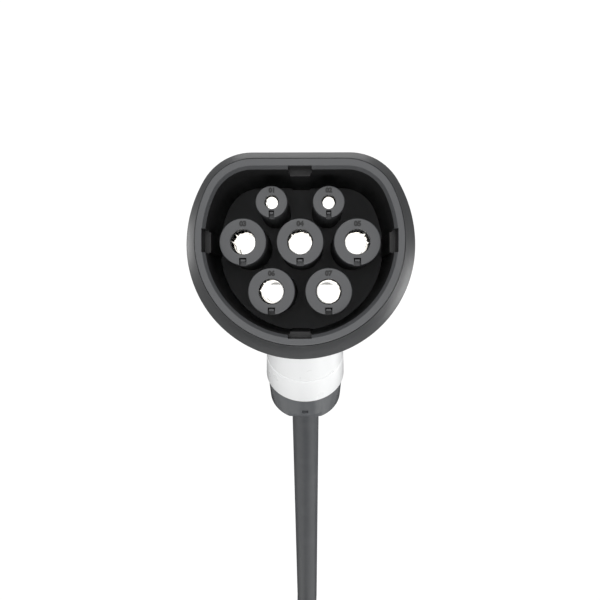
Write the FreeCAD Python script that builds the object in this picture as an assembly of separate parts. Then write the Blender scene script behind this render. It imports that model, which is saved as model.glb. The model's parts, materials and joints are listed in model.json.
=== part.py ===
"""Seven-contact charging connector with its lead, modelled plugged in.

The origin is on the axis of the centre (earth) contact, in the plane of the rim that meets
the vehicle. +Y runs back into the connector, +Z is up, +X is to the right seen from the vehicle.
The handle leaves the head down and back, and the lead follows the handle's axis.
All lengths are in millimetres.
"""

import FreeCAD, Part
import math
import os
from dataclasses import dataclass

V = FreeCAD.Vector
X_AXIS = V(1, 0, 0)
Y_AXIS = V(0, 1, 0)
Z_AXIS = V(0, 0, 1)


# Contact pattern.
PITCH = 14.6  # between neighbouring power contacts
SIGNAL_RISE = 10.2  # signal contacts above the middle row
ROW_DROP = PITCH * math.sin(math.radians(60))  # lower power contacts, an equilateral pattern
PIN_CLEARANCE = 0.04  # radial, between a vehicle pin and its socket


@dataclass(frozen=True)
class ContactSize:
    """Radii of one contact and of the insulating tower round it."""

    pin: float  # the vehicle's pin
    hole: float  # mouth of the tower
    nose: float  # slim closed front of the socket
    sleeve: float  # outside of the socket behind its nose
    tower: float  # outside of the tower at its mouth
    collar: float  # shoulder that the retainer presses on
    barrel: float  # crimp barrel
    wire: float  # insulated conductor
    slot_width: float
    socket_depth: float  # from the nose's front
    barrel_length: float


POWER = ContactSize(3.0, 3.27, 3.7, 4.4, 5.98, 5.3, 3.3, 1.8, 1.86, 28.0, 14.0)
SIGNAL = ContactSize(1.5, 1.8, 1.85, 2.3, 4.07, 3.1, 1.8, 1.1, 1.37, 24.0, 10.0)

CONTACTS = {
    "n": (-PITCH, 0.0, POWER),
    "pe": (0.0, 0.0, POWER),
    "l1": (PITCH, 0.0, POWER),
    "l3": (-PITCH / 2, -ROW_DROP, POWER),
    "l2": (PITCH / 2, -ROW_DROP, POWER),
    "cp": (-PITCH / 2, SIGNAL_RISE, SIGNAL),
    "pp": (PITCH / 2, SIGNAL_RISE, SIGNAL),
}

# Head; depths run along +Y from the rim.
TOWER_MOUTH = 6.0
SLOT_LENGTH = 10.5
SLOT_DEPTH = 1.9
NOSE_FRONT = 8.5
SLEEVE_FRONT = 17.5  # where the socket steps up from its nose
SOCKET_SEAT_GAP = 0.1  # tower lip to socket
RECESS_FLOOR = 35.5
CARRIER_PLATE = 4.5
CARRIER_FLANGE = 3.5
REAR_BOSS = 12.0  # behind the plate
REAR_BOSS_WALL = 0.2  # radial, outside the contact's collar
COLLAR_LENGTH = 3.0
RETAINER_THICK = 3.0
RETAINER_SCREW_LENGTH = 12.0
TOWER_SEAT = 2.0  # depth that a tower sits in the carrier's floor
TOWER_SEAT_GAP = 0.1  # radial
TOWER_DRAFT = 0.12  # the tower grows this much to its root
SOCKET_FIT = 0.12  # radial, sleeve in tower
SOCKET_CHAMFER = 0.1
CRIMP_WALL = 0.4  # how much thinner the conductor is inside its barrel
SAW_WIDTH = 0.4
SAW_LENGTH = 14.0
SPRING_START = 3.0  # behind the sleeve's front
SPRING_GROOVE = 0.4
SPRING_LENGTH = 3.2
SPRING_GAP = 0.1
POST_RADIUS = 3.0
POST_TOP = 12.6
POST_SIDE = (17.2, -9.9)
RETAINER_INSET = 1.0
BARREL_GAP = 0.3

# The head's outline is a circle with a flat top. The sides above the middle belong to a
# larger circle, so that the two upper corners stand out a little.
SIDE_BULGE = 3.8
RIM_OUTER = (26.1, 20.2, 12.9)  # radius, height of the flat, corner radius
RIM_INNER = (24.4, 18.48, 11.05)
RECESS = (23.65, 17.66, 10.3)
LIP_CHAMFER = 1.2
SHROUD_LENGTH = RECESS_FLOOR + CARRIER_PLATE
NOTCH_WIDTH = 5.9
NOTCH_LENGTH = 8.0
RIB_WIDTH = 5.2
RIB_PROUD = 0.7
PART_GAP = 0.15  # between mouldings that slide into each other

BEZEL_FRONT = 0.6
BEZEL_EDGE = 18.0
BEZEL_BACK = 20.0
BEZEL_FLARES = (0.3, 1.8, 4.7)  # outside the sleeve at the lip, half way and at the edge
BEZEL_CORNERS = (13.15, 13.6, 15.0)
FLANGE_GAP = 0.4  # the carrier's flange inside the sleeve's outline
GASKET_THICK = 1.2
GASKET_INSET = 1.5

# Housing and the grip's end.
WALL = 2.4
HANDLE_CROSSING = 133.0  # where the handle's axis meets the contacts' axis
HANDLE_DROP = 43.5  # degrees below the horizontal
BEND_RADIUS = 100.0
HEAD_FRONT = (29.8, 24.2, 14.2)
HEAD_MIDDLE = (29.0, 23.7, 13.8)
HEAD_BACK = (26.6, 22.8, 13.2)
HEAD_MIDDLE_Y = 44.0
HEAD_BACK_LEAD = 25.1  # in front of the bend
FRONT_FRAME = 4.0  # thickness of the frame inside the shells' mouth
STOP_RING = 2.5  # thickness of the ring behind the carrier's flange
STOP_GAP = 0.1
NECK = ((22.8, 21.0, 13.0), (19.6, 18.9, 13.5), (17.5, 17.15, 13.0), (16.6, 16.35, 12.6))
GRIP_END = (17.3, 17.1, 13.4)
GRIP_END_S = 56.0  # distance along the handle's axis from the crossing
RING_END_S = 70.0
RING_RADIUS = 17.4
RING_SWELL = 0.6
RING_SPIGOT = 10.0
RING_FIT = 0.8  # radial, the spigot in the tapering grip
RING_NOSE = 9.0
RING_BORE = 7.4
NOSE_RADIUS = 13.4

GLAND_END_S = 85.4
GLAND_RADIUS = 17.3
GLAND_TIP_RADIUS = 16.6
GLAND_WALL = 3.4
GLAND_NOTCH_WIDTH = 16.6
GLAND_NOTCH_DEPTH = 3.4
GLAND_WINDOW = (2.9, 2.6)
GLAND_WINDOW_BACK = 6.2  # window centre, in from the end
GLAND_MOUTH = 0.5  # radial, round the lead

SCREW_RADIUS = 1.45
SCREW_HEAD_RADIUS = 2.8
SCREW_HEAD = 2.2
SCREW_PILOT = 1.3
SCREW_CLEARANCE = 0.25
SCREW_REACH = 9.0  # above the joint
SCREW_CROSS = (3.2, 0.7, 1.2)  # length, width and depth of the cross recess
BOSS_RADIUS = 3.0
BOSS_INSET = 0.6  # inside the housing's surface
# (distance from the middle, depth, seat below the joint) of the screws in the head
HEAD_SCREWS = ((21.9, 66.0, 8.5), (16.6, 101.0, 7.5))
# (distance from the middle, degrees round the bend, seat below the joint)
BEND_SCREWS = (10.7, 31.0, 8.4)

# Lead, its clamp and its coil.
CABLE_RADIUS = 6.5
SHEATH_START_S = 26.0
FREE_START_S = 78.0
STRAIGHT_END_S = 355.0
CLAMP_S = 38.0
CLAMP_LENGTH = 12.0
CLAMP_LUG = 7.0
CLAMP_SCREW_GAP = 3.4  # from the lead to a screw's axis
CLAMP_SCREW_X = CABLE_RADIUS + CLAMP_SCREW_GAP
CLAMP_EDGE = 2.7  # from a screw's axis to the end of the clamp
CLAMP_WIDTH = 2 * (CLAMP_SCREW_X + CLAMP_EDGE)
CLAMP_WALL = 2.8
CLAMP_SEAT_RADIUS = 13.8
CLAMP_SEAT_WIDTH = 13.0
CLAMP_SPLIT = 0.8
CLAMP_SCREW_LENGTH = 6.5
BUNDLE_RADIUS = 4.0
CONDUCTOR_START = 7.0  # straight behind the crimp barrel
CONDUCTOR_END = 17.0  # straight into the sheath
RESISTOR_LEAD_RADIUS = 0.4
RESISTOR_RADIUS = 1.6
RESISTOR_LENGTH = 5.4

GROUND = -433.3
COIL_MIDDLE = 71.5  # radius of the middle turn
COIL_ACROSS = 4  # turns side by side, each layer a flat spiral
COIL_LAYERS = 3
COIL_TOP_TURN = 68.25  # radius of the one turn on top
COIL_TOP_HALF = 9.75
COIL_SOFT = 2.5
COIL_TRIM = 0.05  # between the coil and the tail that leaves it

PLUG_NUT_RADIUS = 17.6
PLUG_SHELL_RADIUS = 16.0
PLUG_SHELL_LENGTH = 42.0
PLUG_BOOT_LENGTH = 30.0
PLUG_BOOT_BEHIND = 20.0  # of the boot, behind where the lead's route ends
PLUG_BOOT_IN_SHELL = 12.0
PLUG_BOOT_RADII = (8.0, 8.8, 13.2)
PLUG_BOOT_RINGS = 4
PLUG_BOOT_STEP = 7.0
PLUG_SLEEVE_WALL = 1.2
PLUG_NUT_GAP = 0.2
PLUG_NUT_LENGTH = 18.0
PLUG_NUT_FLUTES = 20
PLUG_INSERT_RADIUS = 13.2
PLUG_INSERT_THICK = 5.0
PLUG_PIN_CIRCLE = 8.0
PLUG_PIN_LENGTH = 12.0
PLUG_PIN_RADIUS = 2.0


def handle_axis():
    """Unit vector along the handle, away from the head."""
    a = math.radians(HANDLE_DROP)
    return V(0, math.cos(a), -math.sin(a))


def on_handle(s):
    """Point on the handle's axis, s from where it meets the contacts' axis."""
    return V(0, HANDLE_CROSSING, 0) + handle_axis() * s


def handle_up():
    """Unit vector square to the handle, pointing up and back."""
    return X_AXIS.cross(handle_axis())


# The free lead: straight out of the gland, then down and round to lie on its own coil.
RUN_POINTS = [
    on_handle(FREE_START_S),
    on_handle(STRAIGHT_END_S),
    V(-14.5, 393.1, -327.9),
    V(-31.5, 335.2, -387.8),
    V(-42.8, 261.0, -387.8),
]
TAIL_POINTS = [
    V(-62.1, 263.8, -426.8),
    V(-70.2, 210.5, -426.8),
    V(-61.4, 153.0, -415.7),
    V(-50.9, 115.0, -415.7),
]


def outline(size, centre=V(0, 0, 0), up=Z_AXIS, grow=0.0):
    """Closed wire of the head's outline, in the plane of X and up."""
    radius, top, corner = (value + grow for value in size)
    corner = max(corner, 0.5)
    side = radius + SIDE_BULGE
    cz = top - corner
    cx = math.sqrt((side - corner) ** 2 - cz**2) - SIDE_BULGE
    reach = side / (side - corner)
    tx, tz = (cx + SIDE_BULGE) * reach - SIDE_BULGE, cz * reach
    half = 0.5 * math.atan2(tz, tx + SIDE_BULGE)
    mx, mz = side * math.cos(half) - SIDE_BULGE, side * math.sin(half)
    lean = 0.5 * (math.atan2(cz, cx + SIDE_BULGE) + math.pi / 2)
    kx, kz = cx + corner * math.cos(lean), cz + corner * math.sin(lean)

    def at(x, z):
        return centre + X_AXIS * x + up * z

    edges = [
        Part.LineSegment(at(-cx, top), at(cx, top)),
        Part.Arc(at(cx, top), at(kx, kz), at(tx, tz)),
        Part.Arc(at(tx, tz), at(mx, mz), at(radius, 0)),
        Part.Arc(at(radius, 0), at(0, -radius), at(-radius, 0)),
        Part.Arc(at(-radius, 0), at(-mx, mz), at(-tx, tz)),
        Part.Arc(at(-tx, tz), at(-kx, kz), at(-cx, top)),
    ]
    return Part.Wire([edge.toShape() for edge in edges])


def prism(size, start, end, grow=0.0):
    """The outline extruded along the contacts' axis."""
    face = Part.Face(outline(size, V(0, start, 0), grow=grow))
    return face.extrude(V(0, end - start, 0))


def taper(front, back, start, end):
    """Straight-sided solid between two outlines."""
    wires = [outline(front, V(0, start, 0)), outline(back, V(0, end, 0))]
    return Part.makeLoft(wires, True, True)


def turned(profile, base, axis):
    """Solid of revolution; profile holds (distance along the axis, radius) pairs."""
    side = axis.cross(X_AXIS)
    if side.Length < 0.1:
        side = axis.cross(Z_AXIS)
    side.normalize()
    corners = [base + axis * along + side * radius for along, radius in profile]
    face = Part.Face(Part.makePolygon(corners + corners[:1]))
    return face.revolve(base, axis, 360)


def rod(radius, start, axis, length):
    """Plain cylinder."""
    return Part.makeCylinder(radius, length, start, axis)


def block(width, depth, height, centre, along=Y_AXIS, up=Z_AXIS):
    """Box centred on a point: width across X, depth along the axis, height along up."""
    corner = centre - X_AXIS * (width / 2) - along * (depth / 2) - up * (height / 2)
    face = Part.Face(
        Part.makePolygon(
            [
                corner,
                corner + X_AXIS * width,
                corner + X_AXIS * width + up * height,
                corner + up * height,
                corner,
            ]
        )
    )
    return face.extrude(along * depth)


def fuse_all(shapes):
    """One clean solid from several."""
    body = shapes[0]
    if len(shapes) > 1:
        body = body.fuse(shapes[1:])
    return body.removeSplitter()


def bend_radii(points):
    """Radius of the arc at each inner point: 0.45 of the shorter run over the half turn's tangent."""
    radii = []
    for before, at, after in zip(points, points[1:], points[2:]):
        turn = (at - before).getAngle(after - at)
        shorter = min((at - before).Length, (after - at).Length)
        radii.append(0.45 * shorter / math.tan(turn / 2))
    return radii


def route(points):
    """Wire of straight runs joined by tangent arcs."""
    edges = []
    start = points[0]
    for i, radius in enumerate(bend_radii(points), 1):
        into = (points[i] - points[i - 1]).normalize()
        out = (points[i + 1] - points[i]).normalize()
        turn = into.getAngle(out)
        back = radius * math.tan(turn / 2)
        first, last = points[i] - into * back, points[i] + out * back
        inward = (out - into).normalize()
        middle = points[i] + inward * (radius / math.cos(turn / 2) - radius)
        edges += [Part.LineSegment(start, first), Part.Arc(first, middle, last)]
        start = last
    edges.append(Part.LineSegment(start, points[-1]))
    return Part.Wire([edge.toShape() for edge in edges])


def tube(points, radius):
    """Solid round tube along a route."""
    path = route(points)
    heading = (points[1] - points[0]).normalize()
    ring = Part.Wire([Part.makeCircle(radius, points[0], heading)])
    return path.makePipeShell([ring], True, False), path.Length


def rear_of_boss():
    """Depth of the rear faces of the carrier's bosses, where the contacts' collars sit."""
    return RECESS_FLOOR + CARRIER_PLATE + REAR_BOSS


def mating_shroud():
    """Sleeve that meets the vehicle: chamfered lip, four keying notches, guide ribs behind them."""
    body = prism(RIM_OUTER, 0, SHROUD_LENGTH)
    body = body.cut(prism(RECESS, -1, SHROUD_LENGTH + 1))
    body = body.cut(taper(RIM_INNER, RECESS, 0, LIP_CHAMFER))
    radius, top = RIM_INNER[0], RIM_INNER[1]
    recess_radius, recess_top = RECESS[0], RECESS[1]
    cuts, ribs = [], []
    for angle, reach, inner in (
        (0, radius, recess_radius),
        (90, top, recess_top),
        (180, radius, recess_radius),
        (270, radius, recess_radius),
    ):
        turn = (V(0, 0, 0), Y_AXIS, -angle)
        notch = Part.makeBox(3, NOTCH_LENGTH + 1, NOTCH_WIDTH, V(reach - 3, -1, -NOTCH_WIDTH / 2))
        notch.rotate(*turn)
        cuts.append(notch)
        rib = Part.makeBox(
            RIB_PROUD + 1,
            RECESS_FLOOR - NOTCH_LENGTH,
            RIB_WIDTH,
            V(inner - RIB_PROUD, NOTCH_LENGTH, -RIB_WIDTH / 2),
        )
        rib.rotate(*turn)
        ribs.append(rib)
    body = body.cut(cuts)
    return fuse_all([body] + ribs)


def front_bezel():
    """Flared collar round the sleeve, widest at its back edge."""
    depths = (BEZEL_FRONT, 0.5 * (BEZEL_FRONT + BEZEL_EDGE), BEZEL_EDGE)
    sizes = [
        (RIM_OUTER[0] + flare, RIM_OUTER[1] + flare, corner)
        for flare, corner in zip(BEZEL_FLARES, BEZEL_CORNERS)
    ]
    flare = Part.makeLoft([outline(size, V(0, y, 0)) for size, y in zip(sizes, depths)], True, False)
    edge = prism(sizes[-1], BEZEL_EDGE, BEZEL_BACK)
    bore = prism(RIM_OUTER, BEZEL_FRONT - 1, BEZEL_BACK + 1, grow=PART_GAP)
    return fuse_all([flare, edge]).cut(bore)


def bezel_gasket():
    """Flat seal between the collar and the housing."""
    body = prism(HEAD_FRONT, BEZEL_BACK, BEZEL_BACK + GASKET_THICK, grow=-GASKET_INSET)
    return body.cut(prism(RIM_OUTER, BEZEL_BACK - 1, BEZEL_BACK + 3, grow=PART_GAP))


def contact_carrier():
    """Insulator: recess floor with seven counterbores in front and seven bosses behind."""
    plate = prism(RECESS, RECESS_FLOOR, SHROUD_LENGTH, grow=-PART_GAP)
    for angle, inner in ((0, RECESS[0]), (90, RECESS[1]), (180, RECESS[0]), (270, RECESS[0])):
        corner = V(inner - RIB_PROUD, RECESS_FLOOR - 0.01, -RIB_WIDTH / 2)
        relief = Part.makeBox(RIB_PROUD + 2, 0.01 + PART_GAP, RIB_WIDTH, corner)
        relief.rotate(V(0, 0, 0), Y_AXIS, -angle)
        plate = plate.cut(relief)
    flange = prism(RIM_OUTER, SHROUD_LENGTH, SHROUD_LENGTH + CARRIER_FLANGE, grow=-FLANGE_GAP)
    parts, holes = [plate, flange], []
    rear = rear_of_boss()
    for x, z, size in CONTACTS.values():
        parts.append(rod(size.collar + REAR_BOSS_WALL, V(x, SHROUD_LENGTH, z), Y_AXIS, rear - SHROUD_LENGTH))
        seat = size.tower + TOWER_DRAFT + TOWER_SEAT_GAP
        holes.append(rod(seat, V(x, RECESS_FLOOR - 1, z), Y_AXIS, TOWER_SEAT + 1))
        holes.append(rod(size.sleeve + SOCKET_FIT, V(x, RECESS_FLOOR, z), Y_AXIS, rear + 1 - RECESS_FLOOR))
    for x, z in retainer_posts():
        length = rear + COLLAR_LENGTH - SHROUD_LENGTH
        parts.append(rod(POST_RADIUS, V(x, SHROUD_LENGTH, z), Y_AXIS, length))
        holes.append(rod(SCREW_PILOT, V(x, SHROUD_LENGTH + 2, z), Y_AXIS, length))
    return fuse_all(parts).cut(holes)


def contact_tower(name):
    """Insulating tower round one contact: lipped mouth, keying slot below, foot in the floor."""
    x, z, size = CONTACTS[name]
    foot = RECESS_FLOOR + TOWER_SEAT
    profile = [
        (TOWER_MOUTH, size.hole),
        (TOWER_MOUTH, size.tower),
        (foot, size.tower + TOWER_DRAFT),
        (foot, size.sleeve + SOCKET_FIT),
        (SLEEVE_FRONT - SOCKET_SEAT_GAP, size.sleeve + SOCKET_FIT),
        (SLEEVE_FRONT - SOCKET_SEAT_GAP, size.nose + SOCKET_FIT),
        (NOSE_FRONT - SOCKET_SEAT_GAP, size.nose + SOCKET_FIT),
        (NOSE_FRONT - SOCKET_SEAT_GAP, size.hole),
    ]
    slot = Part.makeBox(
        size.slot_width,
        SLOT_LENGTH + 1,
        SLOT_DEPTH + 1,
        V(x - size.slot_width / 2, TOWER_MOUTH - 1, z - size.tower - 1),
    )
    return turned(profile, V(x, 0, z), Y_AXIS).cut(slot)


def contact_towers():
    """The seven towers, each seated in its counterbore in the carrier's floor."""
    return Part.makeCompound([contact_tower(name) for name in CONTACTS])


def retainer_posts():
    """Places of the three posts that the retainer plate is screwed to."""
    side, height = POST_SIDE
    return ((0.0, POST_TOP), (-side, height), (side, height))


def contact_socket(name):
    """Turned socket: closed nose, slotted sleeve for the vehicle's pin, collar, crimp barrel."""
    x, z, size = CONTACTS[name]
    bore = size.pin + PIN_CLEARANCE
    rear = rear_of_boss()
    collar_end = rear + COLLAR_LENGTH
    barrel_end = collar_end + RETAINER_THICK + size.barrel_length
    chamfer = SOCKET_CHAMFER
    groove = SLEEVE_FRONT + SPRING_START
    bottom = NOSE_FRONT + size.socket_depth
    profile = [
        (NOSE_FRONT, bore + chamfer),
        (NOSE_FRONT, size.nose - chamfer),
        (NOSE_FRONT + chamfer, size.nose),
        (SLEEVE_FRONT, size.nose),
        (SLEEVE_FRONT, size.sleeve),
        (groove, size.sleeve),
        (groove, size.sleeve - SPRING_GROOVE),
        (groove + SPRING_LENGTH, size.sleeve - SPRING_GROOVE),
        (groove + SPRING_LENGTH, size.sleeve),
        (rear, size.sleeve),
        (rear, size.collar),
        (collar_end, size.collar),
        (collar_end, size.barrel),
        (barrel_end, size.barrel),
        (barrel_end, size.wire - CRIMP_WALL),
        (barrel_end - size.barrel_length, size.wire - CRIMP_WALL),
        (barrel_end - size.barrel_length, 0),
        (bottom, 0),
        (bottom, bore),
        (NOSE_FRONT + chamfer, bore),
    ]
    body = turned(profile, V(x, 0, z), Y_AXIS)
    saws = []
    for angle in (45, 135):
        corner = V(-SAW_WIDTH / 2, 0, -size.sleeve - 1)
        saw = Part.makeBox(SAW_WIDTH, SAW_LENGTH, 2 * size.sleeve + 2, corner)
        saw.rotate(V(0, 0, 0), Y_AXIS, angle)
        saw.translate(V(x, SLEEVE_FRONT, z))
        saws.append(saw)
    return body.cut(saws)


def contact_springs():
    """Steel rings that close the sleeves onto the pins, one for each socket."""
    rings = []
    for x, z, size in CONTACTS.values():
        start = V(x, SLEEVE_FRONT + SPRING_START + SPRING_GAP, z)
        length = SPRING_LENGTH - 2 * SPRING_GAP
        outer = rod(size.sleeve - 0.02, start, Y_AXIS, length)
        inner = rod(size.sleeve - SPRING_GROOVE, start, Y_AXIS, length)
        rings.append(outer.cut(inner))
    return Part.makeCompound(rings)


def contact_retainer():
    """Plate that presses the contacts' collars onto the bosses."""
    start = rear_of_boss() + COLLAR_LENGTH
    body = prism(RECESS, start, start + RETAINER_THICK, grow=-RETAINER_INSET)
    holes = [
        rod(size.barrel + BARREL_GAP, V(x, start - 1, z), Y_AXIS, RETAINER_THICK + 2)
        for x, z, size in CONTACTS.values()
    ]
    holes += [
        rod(SCREW_RADIUS + SCREW_CLEARANCE, V(x, start - 1, z), Y_AXIS, RETAINER_THICK + 2)
        for x, z in retainer_posts()
    ]
    return body.cut(holes)


def screw(seat, axis, shank):
    """Pan-head screw with a cross recess; the shank points along the axis from its seat."""
    head = turned(
        [
            (0, 0),
            (-SCREW_HEAD, 0),
            (-SCREW_HEAD, SCREW_HEAD_RADIUS * 0.7),
            (-SCREW_HEAD * 0.6, SCREW_HEAD_RADIUS),
            (0, SCREW_HEAD_RADIUS),
        ],
        seat,
        axis,
    )
    body = head.fuse(rod(SCREW_PILOT, seat, axis, shank))
    across = X_AXIS if abs(axis.x) < 0.9 else Z_AXIS
    other = axis.cross(across).normalize()
    length, width, depth = SCREW_CROSS
    cuts = []
    for arm, flat in ((across, other), (other, across)):
        corner = seat - axis * (SCREW_HEAD + 0.1) - arm * (length / 2) - flat * (width / 2)
        end = corner + arm * length
        face = Part.Face(Part.makePolygon([corner, end, end + flat * width, corner + flat * width, corner]))
        cuts.append(face.extrude(axis * (depth + 0.1)))
    return body.cut(cuts)


def retainer_screws():
    """Three screws from behind into the carrier's posts."""
    seat = rear_of_boss() + COLLAR_LENGTH + RETAINER_THICK
    return Part.makeCompound([screw(V(x, seat, z), -Y_AXIS, RETAINER_SCREW_LENGTH) for x, z in retainer_posts()])


def bend_frame(angle):
    """Point on the housing's middle line in its bend, with the up vector there."""
    start = HANDLE_CROSSING - BEND_RADIUS * math.tan(math.radians(HANDLE_DROP / 2))
    a = math.radians(angle)
    centre = V(0, start + BEND_RADIUS * math.sin(a), -BEND_RADIUS * (1 - math.cos(a)))
    return centre, V(0, math.sin(a), math.cos(a))


def housing_solid(grow, front, end_extra):
    """Lofted body of the head's back and the grip; grow moves its surface in or out."""
    wires = [
        outline(HEAD_FRONT, V(0, front, 0), grow=grow),
        outline(HEAD_MIDDLE, V(0, HEAD_MIDDLE_Y, 0), grow=grow),
        outline(HEAD_BACK, bend_frame(0)[0] - Y_AXIS * HEAD_BACK_LEAD, grow=grow),
    ]
    for i, size in enumerate(NECK):
        centre, up = bend_frame(HANDLE_DROP * i / (len(NECK) - 1))
        wires.append(outline(size, centre, up, grow=grow))
    wires.append(outline(GRIP_END, on_handle(GRIP_END_S + end_extra), handle_up(), grow=grow))
    return Part.makeLoft(wires, True, False)


def screw_places():
    """(point on the joint, up vector, X offset, seat below the joint) of each housing screw."""
    places = []
    offset, angle, bend_seat = BEND_SCREWS
    centre, up = bend_frame(angle)
    for side in (-1, 1):
        for x, y, seat in HEAD_SCREWS:
            places.append((V(x * side, y, 0), Z_AXIS, seat))
        places.append((centre + X_AXIS * (offset * side), up, bend_seat))
    return places


def housing_shells():
    """Upper and lower white mouldings: one hollow body parted along its middle line."""
    front = BEZEL_BACK + GASKET_THICK
    outer = housing_solid(0.0, front, 0.0)
    inner = housing_solid(-WALL, front - 0.5, 0.5)
    body = outer.cut(inner)
    through = SHROUD_LENGTH + CARRIER_FLANGE + STOP_RING + 10
    sleeve = prism(RIM_OUTER, 0, through, grow=PART_GAP)
    extras = [prism(HEAD_FRONT, front, front + FRONT_FRAME, grow=-BOSS_INSET).cut(sleeve)]
    stop = SHROUD_LENGTH + CARRIER_FLANGE + STOP_GAP
    stop_ring = prism(HEAD_MIDDLE, stop, stop + STOP_RING, grow=-BOSS_INSET - 0.2)
    extras.append(stop_ring.cut(prism(RECESS, 0, through, grow=BOSS_INSET)))
    holes = []
    for joint, up, seat in screw_places():
        reach = HEAD_FRONT[0]
        boss = rod(BOSS_RADIUS, joint - up * reach, up, 2 * reach)
        extras.append(boss.common(housing_solid(-BOSS_INSET, front, 0.0)))
        holes.append(rod(SCREW_PILOT, joint - up * 1, up, SCREW_REACH + 1.5))
        holes.append(rod(SCREW_RADIUS + SCREW_CLEARANCE, joint - up * seat, up, seat))
        holes.append(rod(SCREW_HEAD_RADIUS + SCREW_CLEARANCE, joint - up * (seat + reach), up, reach))
    body = fuse_all([body] + extras).cut(holes)
    above = above_joint()
    return body.common(above), body.cut(above)


def above_joint():
    """Everything above the housing's middle line, as a thick slab."""
    bend_start, _ = bend_frame(0)
    bend_middle, _ = bend_frame(HANDLE_DROP / 2)
    bend_end, _ = bend_frame(HANDLE_DROP)
    reach = 2 * HEAD_FRONT[0]  # past the housing on every side
    last = on_handle(GRIP_END_S + reach)
    first = V(0, -reach, 0)
    high = V(0, 0, reach)
    edges = [
        Part.LineSegment(first, bend_start),
        Part.Arc(bend_start, bend_middle, bend_end),
        Part.LineSegment(bend_end, last),
        Part.LineSegment(last, last + Y_AXIS * reach + high),
        Part.LineSegment(last + Y_AXIS * reach + high, first + high),
        Part.LineSegment(first + high, first),
    ]
    face = Part.Face(Part.Wire([edge.toShape() for edge in edges]))
    face.translate(X_AXIS * -reach)
    return face.extrude(X_AXIS * (2 * reach))


def shell_screws():
    """Six screws that hold the two mouldings together, driven from below."""
    screws = []
    for joint, up, seat in screw_places():
        screws.append(screw(joint - up * seat, up, seat + SCREW_REACH))
    return Part.makeCompound(screws)


def grip_end_ring():
    """White ring that slips into the grip's end, with a nose for the gland."""
    last = RING_END_S - GRIP_END_S
    spigot = GRIP_END[0] - WALL - RING_FIT
    profile = [
        (-RING_SPIGOT, RING_BORE),
        (-RING_SPIGOT, spigot),
        (0, spigot),
        (0, RING_RADIUS - 0.4),
        (0.4, RING_RADIUS),
        (last - 0.4, RING_RADIUS + RING_SWELL),
        (last, RING_RADIUS + RING_SWELL - 0.4),
        (last, NOSE_RADIUS),
        (last + RING_NOSE, NOSE_RADIUS),
        (last + RING_NOSE, RING_BORE + 3.0),
        (last, RING_BORE),
    ]
    return turned(profile, on_handle(GRIP_END_S), handle_axis())


def gland_collar():
    """Dark collar screwed on the ring's nose, notched and pierced on its lower side."""
    length = GLAND_END_S - RING_END_S
    mouth = CABLE_RADIUS + GLAND_MOUTH
    profile = [
        (0, NOSE_RADIUS + 0.1),
        (0, GLAND_RADIUS - 0.3),
        (0.3, GLAND_RADIUS),
        (length - 0.8, GLAND_TIP_RADIUS),
        (length, GLAND_TIP_RADIUS - 0.8),
        (length, GLAND_TIP_RADIUS - 2.6),
        (length - 1.2, mouth + 1.5),
        (length + 3.0, mouth + 1.5),
        (length + 3.6, mouth + 0.9),
        (length + 3.6, mouth),
        (length - GLAND_WALL, mouth),
        (length - GLAND_WALL, NOSE_RADIUS + 0.1),
    ]
    body = turned(profile, on_handle(RING_END_S), handle_axis())
    edge = on_handle(GLAND_END_S) - handle_up() * GLAND_TIP_RADIUS
    notch = block(
        GLAND_NOTCH_WIDTH, 2 * GLAND_NOTCH_DEPTH, 3.6, edge, along=handle_axis(), up=handle_up()
    )
    middle = on_handle(GLAND_END_S - GLAND_WINDOW_BACK) - handle_up() * GLAND_RADIUS
    window = block(GLAND_WINDOW[0], GLAND_WINDOW[1], 4.0, middle, along=handle_axis(), up=handle_up())
    return body.cut([notch, window])


def clamping_insert():
    """Rubber bush that the gland squeezes round the lead."""
    start = RING_END_S + 3.2
    nose_end = RING_END_S + RING_NOSE
    end = GLAND_END_S - GLAND_WALL - 0.1
    profile = [
        (0, CABLE_RADIUS),
        (0, CABLE_RADIUS + 1.9),
        (nose_end - start, RING_BORE + 2.9),
        (nose_end - start + 0.3, NOSE_RADIUS - 0.6),
        (end - start, NOSE_RADIUS - 0.6),
        (end - start, CABLE_RADIUS),
    ]
    return turned(profile, on_handle(start), handle_axis())


def clamp_halves():
    """Saddle of two halves round the lead inside the grip."""
    axis, up = handle_axis(), handle_up()
    start = on_handle(CLAMP_S - CLAMP_LENGTH / 2)
    barrel = rod(CABLE_RADIUS + CLAMP_WALL, start, axis, CLAMP_LENGTH)
    lugs = block(CLAMP_WIDTH, CLAMP_LENGTH, CLAMP_LUG, on_handle(CLAMP_S), axis, up)
    deep = CLAMP_SEAT_RADIUS + 0.2
    seat = rod(CLAMP_SEAT_RADIUS, start, axis, CLAMP_LENGTH).common(
        block(CLAMP_SEAT_WIDTH, CLAMP_LENGTH, deep, on_handle(CLAMP_S) - up * (deep / 2), axis, up)
    )
    body = fuse_all([barrel, lugs, seat]).cut(rod(CABLE_RADIUS, start - axis, axis, CLAMP_LENGTH + 2))
    wide = 2 * CLAMP_WIDTH
    gap = block(wide, CLAMP_LENGTH + 2, CLAMP_SPLIT, on_handle(CLAMP_S), axis, up)
    holes, reach = [], CLAMP_LUG + 3
    for x in (-1, 1):
        centre = on_handle(CLAMP_S) + X_AXIS * (CLAMP_SCREW_X * x)
        holes.append(rod(SCREW_RADIUS + 0.1, centre, up, reach))
        holes.append(rod(SCREW_PILOT, centre - up * reach, up, reach + 0.1))
        holes.append(rod(SCREW_HEAD_RADIUS + 0.1, centre + up * CLAMP_LUG / 2, up, reach))
    body = body.cut([gap] + holes)
    half = wide / 2
    top = body.common(block(wide, CLAMP_LENGTH + 2, half, on_handle(CLAMP_S) + up * (half / 2), axis, up))
    base = body.common(block(wide, CLAMP_LENGTH + 2, half, on_handle(CLAMP_S) - up * (half / 2), axis, up))
    return top, base


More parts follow.
